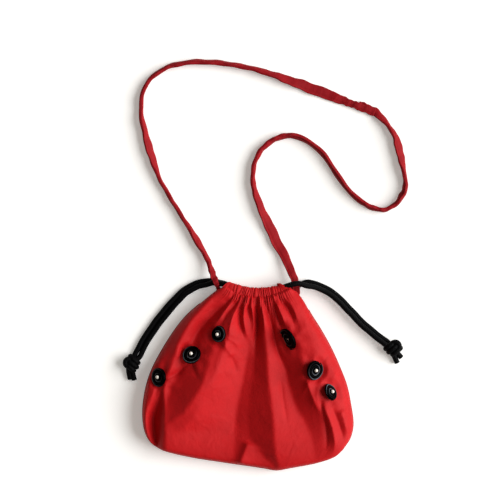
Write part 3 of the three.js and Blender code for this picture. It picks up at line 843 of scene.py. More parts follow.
# Gathers that run down from the casing: path, height, reach to both sides, power, and fades in and out
GATHERS = (
    Fold(((-15, 100), (-22, 92), (-34, 81), (-48, 67), (-62, 50), (-72, 36)), -6.5, 6, 7, 1.4),
    Fold(((-14, 99), (-19, 91), (-28, 78), (-36, 67), (-44, 59)), 4, 4, 5, 1.15),
    Fold(((-9, 98), (-15, 88), (-26, 74), (-33, 60)), -5, 4, 4.5, 1.4),
    Fold(((-6, 97), (-11, 86), (-18, 72), (-22, 56), (-22, 44)), 4.5, 4, 5, 1.15),
    Fold(((-4, 96), (-8.5, 86), (-10.5, 70), (-7, 53), (-2, 42)), -5, 4, 3.5, 1.4),
    Fold(((-1, 95), (-4, 84), (-5, 68), (-2, 53), (3, 44)), 4, 3, 4, 1.15),
    Fold(((2, 95), (0, 84), (1.5, 72), (4, 63)), -4, 3, 3, 1.4, 0, 0.5),
    Fold(((5, 95), (4.5, 85), (6, 73), (7, 62), (5.5, 42)), 4, 3, 3, 1.15),
    Fold(((8, 96), (9, 88), (10.5, 78), (11, 65), (9, 44), (8, 28)), -6.5, 3.5, 4.5, 1.4),
    Fold(((14, 96), (15.5, 87), (18.5, 70), (19.5, 48)), 4.5, 4, 4.5, 1.15),
    Fold(((18, 97), (20, 88), (25, 73), (29, 58), (33, 40), (38, 24), (46, 6)), -4, 3.4, 3, 1.4),
    Fold(((25, 97), (28, 88), (33, 73), (36, 56)), 4.5, 3.5, 4, 1.15),
    Fold(((26, 97), (29.5, 86), (36, 67), (41, 53)), -6.5, 4.5, 3.5, 1.4),
    Fold(((30, 98), (34.5, 86), (40.5, 72), (46, 58)), 5, 2.6, 5, 1.15),
    Fold(((35, 95), (42, 88), (48, 80), (52, 71), (55, 60)), -3.6, 3, 3, 1.4),
    Fold(((42, 96), (50, 87), (56, 76), (60, 62)), 2.6, 2.6, 7, 1.2, 0, 0.5),
)
# Small creases, with the same values in the same order
CREASES = (
    Fold(((-100, -8), (-99, -24), (-98.5, -44), (-99, -62)), 1.8, 2.2, 6, 1.2, 0.1, 0.4),
    Fold(((-111, -13), (-114, -24), (-118, -38)), 1.8, 2.5, 3, 1.2, 0, 0.5),
    Fold(((-106, -14), (-108, -24), (-111, -34)), 1.6, 2, 3, 1.2, 0, 0.5),
    Fold(((86, -22), (88, -38), (92, -54), (94, -72), (93, -90)), -2.6, 3, 2.4, 1.3, 0.2, 0.3),
    Fold(((100, -36), (107, -52), (112, -67), (115, -78)), -2.6, 3.5, 3, 1.3, 0.2, 0.3),
    Fold(((107, 10), (114, -12), (119.5, -36), (122, -56)), -2.6, 2.4, 2, 1.4, 0.1, 0.3),
    Fold(((96, 18), (101, 8), (107, -5)), 0.8, 3, 3.5, 1.2, 0.2, 0.4),
    Fold(((106, 7), (102, -2), (97, -12)), 0.9, 3, 3, 1.2, 0.2, 0.4),
    Fold(((84, -8), (82, -22), (86, -38)), 1.5, 2.6, 4, 1.2, 0.2, 0.4),
    Fold(((89, -31), (95, -46), (100, -60), (103, -76), (102, -92)), 3.8, 4, 5, 1.3, 0.2, 0.3),
    Fold(((110, -38), (115, -54), (119, -70)), 3, 4, 5, 1.3, 0.2, 0.4),
    Fold(((68, 0), (73, -14), (79, -30), (86, -44)), 3, 2.6, 7, 1.2, 0.2, 0.4),
    Fold(((1, -76), (-4, -88), (-10, -104)), 4.6, 5, 14, 1.4, 0.2, 0.1),
    Fold(((38, 8), (41, -20), (45, -44), (48, -60)), -1.5, 3, 2.5, 1.3, 0.3, 0.4),
    Fold(((-29, 40), (-20, 27), (-14, 14)), 1.8, 3, 5, 1.2, 0, 0.5),
    Fold(((-26, 48), (-14, 40), (-8, 30)), 1.5, 3, 4, 1.2, 0, 0.5),
    Fold(((-20, 28), (-16, 15), (-13, 2)), -2.2, 4, 3.5, 1.4, 0.2, 0.4),
    Fold(((-100, -3), (-88, 3), (-78, 9)), -2, 3, 3, 1.4, 0, 0.5),
    Fold(((-99, -8), (-88, -10), (-78, -8)), 1.6, 4, 3, 1.2, 0, 0.5),
    Fold(((-72, 16), (-80, 8), (-90, 0)), -1.8, 3, 3, 1.4, 0, 0.5),
    Fold(((-66, 15), (-62, 4), (-56, -4)), -1.4, 3, 3, 1.4, 0, 0.5),
    Fold(((74, -3), (68, -13), (64, -24)), 1.6, 3, 4, 1.2, 0, 0.5),
    Fold(((88, 16), (94, 26), (96, 36)), -1.2, 3, 3, 1.4, 0, 0.5),
)


# Waves that shift the pleats: size, growth up the band, rate along, start and rate up
PLEAT_DRIFT = ((0.016, 0, 19.5, 0.5, 0.0), (0.01, 0, 46.0, 0.0, 1.4), (0.016, 1, 11.0, 1.2, 0.0))
# Wave that makes the pleats more or less deep: size, rate along, start and rate up
PLEAT_SWING = (0.28, 41.0, 1.0, 1.6)


@dataclass
class BagPlan:
    """Plan and heights of the two panels, shared by all that lies on them.

    Runs are shares of the way down a panel, and walls are rows of such a share and a steepness.
    """

    cloth: float = 1.4
    fit_gap: float = 0.3
    seam_height: float = 3.2
    left_seam_top: float = 16.0
    right_seam_top: float = 12.0
    ear_run: float = 0.24
    strap_run: tuple[float, float] = (0.07, 0.18)
    crown_height: float = 27.5
    lower_crown: float = 22.5
    lower_run: tuple[float, float] = (0.55, 0.85)
    shoulder_run: float = 0.35
    left_wall: Points = ((0.08, 34.0), (0.3, 24.0), (0.42, 24.0), (0.62, 60.0))
    right_wall: Points = ((0.3, 15.0), (0.45, 8.0), (0.62, 8.0), (0.78, 15.0))
    bottom_wall: float = 80.0
    wall_rounding: float = 0.6
    back_side: float = 0.72
    back_bottom: float = 0.86
    half_width: float = 126.0
    depth: float = 215.0
    mouth_line: float = 102.5
    slit_share: float = 0.06
    casing_left: float = -26.0
    casing_right: float = 49.0
    casing_middle: float = 12.0
    casing_y: float = 96.0
    casing_left_rise: float = 10.4
    casing_right_rise: float = 8.6
    casing_middle_height: float = 20.6
    casing_end_height: float = 16.8
    casing_depth: float = 4.7
    casing_lap: float = 1.6
    casing_shoulder: float = 7.2
    casing_cover: float = 0.052
    casing_tuck: float = 6.0
    mouth_gap: float = 5.4
    pleats: int = 27
    pleat_power: float = 0.9
    pleat_relief: float = 2.4
    pleat_run: float = 0.05
    back_pleat: float = 0.8
    fold_run: float = 0.12
    fold_taper: float = 0.8
    gather_run: float = 0.04
    gather_start: float = 0.5
    crease_taper: float = 0.5
    strap_thickness: float = 2.0
    rosette_radius: float = 10.2
    pucker_height: float = 0.6
    pucker_count: int = 6
    pucker_ring: float = 1.5
    pucker_width: float = 0.6
    left_side: Points = (
        (-0.28, -0.012), (-0.42, 0.053), (-0.61, 0.153), (-0.81, 0.321),
        (-0.944, 0.481), (-1, 0.644), (-0.992, 0.756), (-0.955, 0.82), (-0.897, 0.86),
    )
    bottom_edge: Points = (
        (-0.897, 0.86), (-0.8, 0.889), (-0.58, 0.923), (-0.23, 0.956), (0.143, 0.988),
        (0.27, 1), (0.397, 0.988), (0.675, 0.956), (0.829, 0.923), (0.897, 0.888),
    )
    right_side: Points = (
        (0.456, 0), (0.524, 0.053), (0.603, 0.133), (0.698, 0.221), (0.794, 0.323), (0.873, 0.426),
        (0.937, 0.523), (0.976, 0.63), (1, 0.747), (0.971, 0.823), (0.933, 0.858), (0.897, 0.888),
    )
    seats: list[tuple[Rosette, np.ndarray]] = field(default_factory=list)

    def __post_init__(self) -> None:
        """Draws the outline and seats the rosettes."""
        self.left = self.outline(self.left_side)
        self.bottom = self.outline(self.bottom_edge)
        self.right = self.outline(self.right_side)
        self.left_ear = self.left.samples[0]
        self.right_ear = self.right.samples[0]
        self.back_z = self.casing_depth + self.back_pleat
        self.front_z = self.back_z + 2 * self.casing_depth + self.mouth_gap
        for rosette in ROSETTES:
            across, down = np.array([rosette.across]), np.array([rosette.down])
            x, y = self.plan(across, down)
            level = self.folded_front(across, down, x, y)[0]
            lowest = self.seam_height + self.cloth
            lowest += self.rosette_radius * math.sin(math.radians(rosette.lean))
            self.seats.append((rosette, np.array([x[0], y[0], max(level, lowest)])))

    def outline(self, shares: Points) -> Route:
        """One side of the outline, from shares of the half width and of the depth."""
        return Route([(x * self.half_width, self.mouth_line - y * self.depth) for x, y in shares])

    def casing_line(self, share: np.ndarray) -> tuple[np.ndarray, ...]:
        """Middle line of the casing.

        Args:
            share: places along it.

        Returns:
            Its plan x and y, the plan direction across it, and half its height.
        """
        x = lerp(self.casing_left, self.casing_right, share)
        on_left = x < self.casing_middle
        reach = np.where(on_left, self.casing_left, self.casing_right) - self.casing_middle
        rise = np.where(on_left, self.casing_left_rise, self.casing_right_rise)
        along = (x - self.casing_middle) / reach
        slope = 2 * rise * along / reach
        length = np.hypot(1, slope)
        half = lerp(self.casing_middle_height, self.casing_end_height, along ** 2) / 2
        return x, self.casing_y + rise * along ** 2, -slope / length, 1 / length, half

    def casing_point(self, share: np.ndarray, up: np.ndarray) -> tuple[np.ndarray, np.ndarray]:
        """Plan point of the casing at a height across its band."""
        x, y, nx, ny, _ = self.casing_line(share)
        return x + nx * up, y + ny * up

    def pleat(self, share: np.ndarray, up: np.ndarray) -> np.ndarray:
        """Finds the gathers along the casing, which slant and are uneven.

        Args:
            share: places along it.
            up: places across its band, from -1 to 1.

        Returns:
            0 where the cloth is pinched, up to 1 on top.
        """
        shifted = share
        for size, growth, rate, start, climb in PLEAT_DRIFT:
            shifted = shifted + size * up ** growth * np.sin(rate * share + start + climb * up)
        wave = np.abs(np.sin(math.pi * self.pleats * shifted)) ** self.pleat_power
        swing, rate, start, climb = PLEAT_SWING
        return wave * (1 - swing + swing * np.sin(rate * share + start + climb * up))

    def casing_share(self, across: np.ndarray) -> np.ndarray:
        """Share along the casing for a share across the panel."""
        return np.clip((across - self.slit_share) / (1 - 2 * self.slit_share), 0, 1)

    def upper_edge(self, across: np.ndarray) -> np.ndarray:
        """Finds a panel's upper edge: the slits at both ends and the stitch line between them.

        Args:
            across: shares across the panel.

        Returns:
            Plan points.
        """
        share = self.casing_share(across)
        half = self.casing_line(share)[4]
        corner = np.stack(self.casing_point(share, self.casing_lap - half), axis=-1)
        left = np.clip(1 - across / self.slit_share, 0, 1)[:, None]
        right = np.clip(1 - (1 - across) / self.slit_share, 0, 1)[:, None]
        return corner * (1 - left - right) + self.left_ear * left + self.right_ear * right

    def plan(self, across: np.ndarray, down: np.ndarray) -> tuple[np.ndarray, np.ndarray]:
        """Finds plan points of a panel, spread between its four edges and on up over the casing.

        Args:
            across: shares across the panel.
            down: shares down it, negative over the casing.

        Returns:
            Plan x and y.
        """
        a, d = across[:, None], np.maximum(down, 0)[:, None]
        point = self.upper_edge(across) * (1 - d) + self.bottom.at(across) * d
        point = point + self.left.at(down) * (1 - a) + self.right.at(down) * a
        point = point - self.left_ear * (1 - a) * (1 - d) - self.right_ear * a * (1 - d)
        point = point - self.bottom.samples[0] * (1 - a) * d - self.bottom.samples[-1] * a * d
        _, _, nx, ny, _ = self.casing_line(self.casing_share(across))
        rise = np.maximum(-down, 0) * self.depth * smooth(0, self.slit_share, 0.5 - np.abs(across - 0.5))
        return point[:, 0] + nx * rise, point[:, 1] + ny * rise

    def seam_level(self, across: np.ndarray, down: np.ndarray) -> np.ndarray:
        """Height of the side seam, which climbs to the slits beside the mouth."""
        top = np.where(across < 0.5, self.left_seam_top, self.right_seam_top)
        return lerp(top, self.seam_height, smooth(0, self.ear_run, down))

    def seam_half_space(self, down: np.ndarray) -> np.ndarray:
        """Half the space between the panels along the seam, wider where the strap is tucked in."""
        tucked = 1 - smooth(*self.strap_run, down)
        return (self.cloth + self.fit_gap + tucked * (self.strap_thickness + self.fit_gap)) / 2

    def fullness(self, across: np.ndarray, down: np.ndarray) -> np.ndarray:
        """Finds how full the front is.

        Args:
            across: shares across the panel.
            down: shares down it.

        Returns:
            0 along the seams to 1 in the middle.
        """
        side = np.abs(2 * across - 1)
        left, right = (np.interp(down, *zip(*wall)) for wall in (self.left_wall, self.right_wall))
        power = np.where(across < 0.5, left, right)
        inside = (1 - side ** power) * (1 - np.maximum(down, 0) ** self.bottom_wall)
        return np.clip(inside, 0, 1) ** self.wall_rounding

    def folded_front(
        self, across: np.ndarray, down: np.ndarray, x: np.ndarray, y: np.ndarray
    ) -> np.ndarray:
        """Finds the front's height before the rosettes press it flat.

        Args:
            across: shares across the panel.
            down: shares down it.
            x: the same places in plan.
            y: the same places in plan.

        Returns:
            Heights of the cloth's middle.
        """
        full = self.fullness(across, down)
        highest = lerp(self.crown_height, self.lower_crown, smooth(*self.lower_run, down))
        crown = lerp(self.front_z + self.casing_shoulder, highest, smooth(0, self.shoulder_run, down))
        seam = self.seam_level(across, down) + self.seam_half_space(down)
        relief = broad_relief(x, y) * smooth(0, self.fold_run, down)
        gathered = lerp(self.gather_start, 1, smooth(0, self.gather_run, down))
        relief = relief + sum(fold.relief(x, y) for fold in GATHERS) * gathered
        drawn = self.pleat(self.casing_share(across), -np.ones(across.shape)) - 0.5
        inner = 1 - np.abs(2 * across - 1) ** 2
        relief = relief + self.pleat_relief * drawn * inner * np.exp(-np.maximum(down, 0) / self.pleat_run)
        relief = relief - self.casing_tuck * smooth(0.5 * self.casing_cover, self.casing_cover, -down)
        return np.maximum(seam, lerp(seam, crown, full) + relief * full ** self.fold_taper)

    def front_level(self, across: np.ndarray, down: np.ndarray) -> np.ndarray:
        """Finds the front's height with creases, and a flat seat with puckers at each rosette.

        Args:
            across: shares across the panel.
            down: shares down it.

        Returns:
            Heights of the cloth's middle.
        """
        x, y = self.plan(across, down)
        level = self.folded_front(across, down, x, y)
        creased = self.fullness(across, down) ** self.crease_taper
        level = level + sum(fold.relief(x, y) for fold in CREASES) * creased
        for number, (rosette, centre) in enumerate(self.seats):
            dx, dy = x - centre[0], y - centre[1]
            away = np.hypot(dx, dy) / self.rosette_radius
            normal = rosette.seat_normal
            seat = centre[2] - (normal[0] * dx + normal[1] * dy) / normal[2]
            level = lerp(np.minimum(seat, level), level, smooth(rosette.seat, rosette.blend, away))
            ring = np.exp(-(((away - self.pucker_ring) / self.pucker_width) ** 2))
            spokes = np.cos(self.pucker_count * np.arctan2(dy, dx) + number)
            level = level + self.pucker_height * ring * spokes * creased
        return np.maximum(level, self.seam_level(across, down) + self.seam_half_space(down))

    def back_level(self, across: np.ndarray, down: np.ndarray) -> np.ndarray:
        """Finds the back's height: flat on the floor, rising to the seams and to its casing.

        Args:
            across: shares across the panel.
            down: shares down it.

        Returns:
            Heights of the cloth's middle.
        """
        side = np.abs(2 * across - 1)
        seam = self.seam_level(across, down) - self.seam_half_space(down)
        level = lerp(self.back_z, self.cloth / 2, smooth(0, self.ear_run, down))
        inside = (1 - smooth(self.back_side, 1, side) ** 2) * (1 - smooth(self.back_bottom, 1, down) ** 2)
        return lerp(seam, level, inside)


@dataclass
class Panel:
    """One cloth panel below its casing."""

    plan: BagPlan
    side: Side
    columns: int = 210
    rows: int = 200
    row_spread: float = 1.15
    map_size: tuple[float, float] = (250.0, 200.0)

    def build(self) -> bpy.types.Object:
        """Builds the panel's sheet.

        Returns:
            The dressed piece.
        """
        front = self.side is Side.FRONT
        name = "front_panel" if front else "back_panel"
        level = self.plan.front_level if front else self.plan.back_level
        half = self.plan.cloth / 2

        def place(u: np.ndarray, v: np.ndarray) -> np.ndarray:
            """Finds points of the panel's outer face.

            Args:
                u: shares across it.
                v: shares up it.

            Returns:
                The points.
            """
            across = u if front else 1 - u
            top = self.plan.casing_cover if front else 0.0
            down = (1 + top) * (1 - v) ** self.row_spread - top
            x, y = self.plan.plan(across, down)
            return np.stack([x, y, level(across, down) + half * self.side.value], axis=-1)

        piece = grid_piece(f"{name}_cloth", self.columns, self.rows, place, self.map_size)
        solidify(piece, self.plan.cloth)
        dress(piece, RED_SATEEN, Slot.RED_CLOTH, name)
        return piece


@dataclass
class SeamWelt:
    """The turned edge along the side and bottom seams, seen as a thin roll outside the front."""

    plan: BagPlan
    radius: float = 0.6
    start: float = 0.13
    side_points: int = 70
    bottom_points: int = 120
    steps: int = 300
    sides: int = 8

    def build(self) -> bpy.types.Object:
        """Builds the roll, from one ear round the bottom to the other.

        Returns:
            The dressed piece.
        """
        side = np.linspace(self.start, 1, self.side_points)
        bottom = np.linspace(0, 1, self.bottom_points)[1:-1]
        edges = (self.plan.left.at(side), self.plan.bottom.at(bottom), self.plan.right.at(side[::-1]))
        left_z = self.plan.seam_level(np.zeros(len(side)), side)
        right_z = self.plan.seam_level(np.ones(len(side)), side[::-1])
        level = np.concatenate([left_z, np.full(len(bottom), self.plan.seam_height), right_z])
        line = np.column_stack([np.vstack(edges), level])
        piece = round_tube("seam_welt", line, self.radius, self.steps, self.sides)
        return dress(piece, RED_SEAM, Slot.RED_CLOTH)


@dataclass
class Casing:
    """The folded casing of one panel, gathered along its drawcords."""

    plan: BagPlan
    side: Side
    pleat_depth: float = 1.3
    end_calm: float = 0.75
    lower_pinch: float = 0.4
    pinch_run: tuple[float, float] = (0.1, 0.6)
    top_ruffle: float = 1.3
    lower_ruffle: float = 1.2
    flare: float = 7.5
    flare_run: float = 0.16
    slant: float = 9.0
    roundness: float = 0.8
    wall: float = 1.0
    columns: int = 300
    rows: int = 48
    map_size: tuple[float, float] = (150.0, 50.0)

    def build(self) -> bpy.types.Object:
        """Builds the casing's tube.

        Returns:
            The dressed piece.
        """
        front = self.side is Side.FRONT
        middle = self.plan.front_z if front else self.plan.back_z
        deep = self.pleat_depth if front else self.plan.back_pleat

        def place(u: np.ndarray, v: np.ndarray) -> np.ndarray:
            """Finds points of the casing's outer face.

            Args:
                u: shares along it.
                v: shares round it.

            Returns:
                The points.
            """
            angle = 2 * math.pi * v
            c, s = np.cos(angle), np.sin(angle)
            up = np.sign(c) * np.abs(c) ** self.roundness
            out = np.sign(s) * np.abs(s) ** self.roundness
            half = self.plan.casing_line(u)[4]
            wave = self.plan.pleat(u, up) * (1 - self.end_calm * np.abs(2 * u - 1) ** 5)
            outer = np.clip(out * self.side.value, 0, 1)
            depth = self.plan.casing_depth + deep * wave * outer ** 0.5
            depth = depth * (1 - self.lower_pinch * outer * smooth(*self.pinch_run, -up))
            ruffle = self.top_ruffle * (wave - 0.5) * np.clip(up, 0, 1) ** 2
            ruffle = ruffle - self.lower_ruffle * wave * np.clip(-up, 0, 1) ** 3
            x, y = self.plan.casing_point(u, half * up + ruffle)
            low, high = ((1 - up) / 2) ** 0.5, (1 + up) / 2
            x = x - self.flare * low * (1 - smooth(0, self.flare_run, u))
            x = x + (self.flare * low - self.slant * high) * smooth(1 - self.flare_run, 1, u)
            return np.stack([x, y, middle + out * depth], axis=-1)

        name = "front_casing" if front else "back_casing"
        piece = grid_piece(
            name, self.columns, self.rows, place, self.map_size, closed=True, capped=False
        )
        solidify(piece, self.wall)
        dress(piece, RED_SATEEN, Slot.RED_CLOTH)
        return piece


@dataclass
class Drawcords:
    """Two loops of braided cord, each knotted where its two strands meet."""

    plan: BagPlan
    diameter: float = 6.4
    turn_inset: float = 8.0
    turn_room: float = 0.1
    run_steps: int = 7
    stack_lean: float = 2.1
    near_bag: float = 2.3
    beside_share: float = 0.98
    spread_points: int = 6
    stack_share: float = 0.93
    exit_share: float = 0.04
    floor_gap: float = 0.4
    strand_points: int = 90
    strand_cells: int = 150
    run_points: int = 120
    run_cells: int = 140
    left_pair: Points = (
        (-50.5, 111.8), (-59.5, 110), (-68.3, 105.8), (-76.6, 100.6), (-83.4, 93.8), (-90.2, 86.8),
        (-96.5, 79.5), (-102.6, 72), (-108.7, 64.4), (-114.1, 56.5), (-119.6, 48.5), (-124.7, 40.3),
        (-129, 31.8), (-133, 24),
    )
    right_pair: Points = (
        (70, 110.6), (79.3, 109.2), (88.4, 105.7), (97.2, 101.3), (105.1, 95.3), (112.2, 88.8),
        (118.8, 81.6), (125.6, 74.8), (131.9, 67.8), (138.7, 61.1), (146.2, 55), (153.1, 49),
        (160.8, 43.2), (166.5, 39),
    )

    def __post_init__(self) -> None:
        """Works out sizes that follow from the cord."""
        self.radius = self.diameter / 2
        self.lane = (self.diameter + self.plan.fit_gap) / 2
        self.turn_radius = (self.plan.front_z - self.plan.back_z) / 2
        length = self.plan.casing_right - self.plan.casing_left
        self.inset_share = self.turn_inset / length + self.turn_room

    def strand(
        self, pair: Points, offsets: tuple[float, float], levels: Sequence[float]
    ) -> list[list[float]]:
        """One strand beside or above its pair's middle line.

        Args:
            pair: plan points of the middle line, from the bag to the knot.
            offsets: distance to its left at the bag and further on.
            levels: heights from the bag on, the last one kept to the knot.

        Returns:
            Points of the strand.
        """
        line = np.array(pair)
        sideways = np.interp(np.arange(len(line)), (0, self.spread_points), offsets)
        heading = np.gradient(line, axis=0)
        heading /= np.linalg.norm(heading, axis=1)[:, None]
        x = line[:, 0] - heading[:, 1] * sideways
        y = line[:, 1] + heading[:, 0] * sideways
        return [[x[i], y[i], levels[min(i, len(levels) - 1)]] for i in range(len(line))]

    def run(self, lane: float, end: int) -> list[list[float]]:
        """Lays the hidden run: in along the front casing, round a turn, and out along the back one.

        Args:
            lane: distance above the casing's middle line.
            end: end of the casing where it turns, 0 on the left and 1 on the right.

        Returns:
            Points of the run.
        """
        start, stop = -self.exit_share, 1 - self.inset_share
        if end == 0:
            start, stop = 1 + self.exit_share, self.inset_share
        points = []
        for share in np.linspace(start, stop, self.run_steps):
            x, y = self.plan.casing_point(np.array([share]), np.array([lane]))
            points.append([x[0], y[0], self.plan.front_z])
        spot = np.array([float(end)])
        x, y = self.plan.casing_point(spot, np.array([lane]))
        _, _, nx, ny, _ = self.plan.casing_line(spot)
        outward = 1 if end else -1
        middle = (self.plan.front_z + self.plan.back_z) / 2
        for angle in np.linspace(0, math.pi, self.run_steps):
            along = outward * (self.turn_radius * math.sin(angle) - self.turn_inset)
            level = middle + self.turn_radius * math.cos(angle)
            points.append([x[0] + ny[0] * along, y[0] - nx[0] * along, level])
        for share in np.linspace(stop, start, self.run_steps):
            x, y = self.plan.casing_point(np.array([share]), np.array([lane]))
            points.append([x[0], y[0], self.plan.back_z])
        return points

    def free_strand(
        self, name: str, points: list[list[float]], knot: bpy.types.Object, *nodes: str
    ) -> None:
        """Builds a free strand from the casing to its knot.

        Args:
            name: name of the piece.
            points: places that it passes.
            knot: the knot's piece, which is not used.
            nodes: the solids that it stands for.
        """
        route = Route(points)
        line = route.at(np.linspace(0, 1, self.strand_points))
        piece = round_tube(name, line, self.radius, self.strand_cells)
        dress(piece, BraidedCord(), Slot.BLACK_CORD, *nodes)
        [c * MM for c in points[0]]

    def build(self) -> None:
        """Builds both loops with their knots."""
        r = self.radius
        near, beside, stacked = self.near_bag, self.beside_share * r, self.stack_lean
        low = r + self.floor_gap
        high = low + self.stack_share * self.diameter + self.plan.fit_gap
        left_run = self.run(self.lane, 1)
        right_run = self.run(-self.lane, 0)
        left_front = [left_run[0], [-34, 111, 16.6], [-42, 111.9, 12]]
        left_front += self.strand(self.left_pair, (near, beside), (9.4, 8.2, 7.4, 6.4, 5.4, 4.4, low))
        left_back = [left_run[-1], [-34.5, 112.5, 4.8], [-42, 114.4, 4.1]]
        left_back += self.strand(self.left_pair, (-near, -beside), (low,))
        right_front = [[33, 101.5, 20.3], [40, 105.8, 20.8], [48, 109, 22.4]]
        right_front += [[56, 111, 22.4], [62, 111.3, 21]]
        right_front += self.strand(self.right_pair, (-stacked, -stacked), (18.6, 15, 11.8, high))
        right_back = [right_run[-1], [55.5, 106, 4.6], [62, 109.6, 3.6]]
        right_back += self.strand(self.right_pair, (stacked, stacked), (low,))
        for side, tied, run, front, back in (
            ("left", LEFT_KNOT, left_run, left_front, left_back),
            ("right", RIGHT_KNOT, right_run, right_front, right_back),
        ):
            knot = tied.build(self)
            for strand in (front, back):
                strand.append([*tied.entry, tied.half_height])
            self.free_strand(f"drawcord_{side}_front_strand", front, knot, f"drawcord_{side}")
            self.free_strand(f"drawcord_{side}_back_strand", back, knot)
            line = Route(run).at(np.linspace(0, 1, self.run_points))
            inner = round_tube(f"drawcord_{side}_run", line, r, self.run_cells)
            dress(inner, BraidedCord(), Slot.BLACK_CORD)


@dataclass(frozen=True)
class Knot:
    """An overhand knot in the doubled cord: wraps about the pair, a loop over them, and two tails."""

    name: str
    centre: tuple[float, float]
    turn: float
    entry: tuple[float, float]
    loop: tuple[float, float]
    tails: Sequence[Points]
    half_height: float = 7.6
    wraps: Sequence[tuple[float, float]] = ((-5.2, 5.6), (0.0, 6.6), (5.2, 5.8))
    slant: float = 1.4
    loop_radius: float = 4.6
    loop_lift: float = 2.4
    loop_tilt: float = 0.25
    tail_lift: float = 1.2
    core: tuple[float, float, float] = (8.4, 8.0, 6.6)
    core_reach: float = 8.0
    core_points: int = 20
    tail_points: int = 30
    cells: int = 60

    def build(self, cords: Drawcords) -> bpy.types.Object:
        """Ties the knot as one piece of tubes round a core.

        Args:
            cords: the drawcords, which give the cord's thickness.

        Returns:
            The dressed piece.
        """
        r = cords.radius
        heading = math.radians(self.turn)
        axis = np.array([math.cos(heading), math.sin(heading), 0.0])
        side = np.array([-math.sin(heading), math.cos(heading), 0.0])
        up = np.array([0.0, 0.0, 1.0])
        middle = np.array([*self.centre, self.half_height])
        angles = np.linspace(0, 2 * math.pi, self.cells)
        c, s = np.cos(angles)[:, None], np.sin(angles)[:, None]
        lines = []
        for offset, radius in self.wraps:
            high = (self.half_height - r) * radius / self.wraps[1][1]
            lines.append(middle + axis * (offset + self.slant * c) + side * radius * c + up * high * s)
        over = np.array([*self.loop, self.half_height + self.loop_lift])
        tilt = up * self.loop_tilt * self.loop_radius * s
        lines.append(over + (axis * c + side * s) * self.loop_radius + tilt)
        reach = axis * self.core_reach
        core = Route([middle - reach, middle, middle + reach])
        lines.append(core.at(np.linspace(0, 1, self.core_points)))
        for tail in self.tails:
            levels = (self.half_height, r + self.tail_lift, r)
            spots = [[x, y, z] for (x, y), z in zip(tail, levels)]
            lines.append(Route(spots).at(np.linspace(0, 1, self.tail_points)))
        tubes = [round_tube(f"{self.name}_{i}", line, r, self.cells) for i, line in enumerate(lines)]
        bm = bmesh.new()
        inside = Matrix.Diagonal((*(size * MM for size in self.core), 1.0))
        turned = Matrix.Translation(Vector(middle * MM)) @ Matrix.Rotation(heading, 4, "Z")
        bmesh.ops.create_icosphere(bm, subdivisions=3, radius=1.0, matrix=turned @ inside)
        for tube in tubes:
            bm.from_mesh(tube.data)
            bpy.data.objects.remove(tube)
        piece = mesh_piece(f"{self.name}_tied", bm)
        return dress(piece, BraidedCord(), Slot.BLACK_CORD, self.name)


LEFT_KNOT = Knot(
    "knot_left",
    (-138.5, 15.5),
    62,
    (-136, 19.5),
    (-142, 16.5),
    (((-139.4, 12), (-138, 3), (-136.2, -4.6)), ((-143, 12), (-142.6, 4), (-141, -3.6))),
)
RIGHT_KNOT = Knot(
    "knot_right",
    (173.5, 33.5),
    -38,
    (170.5, 36),
    (176, 36.6),
    (((176, 31), (180, 26.5), (183.6, 22.5)), ((173, 29), (176.2, 22), (178.8, 16))),
)


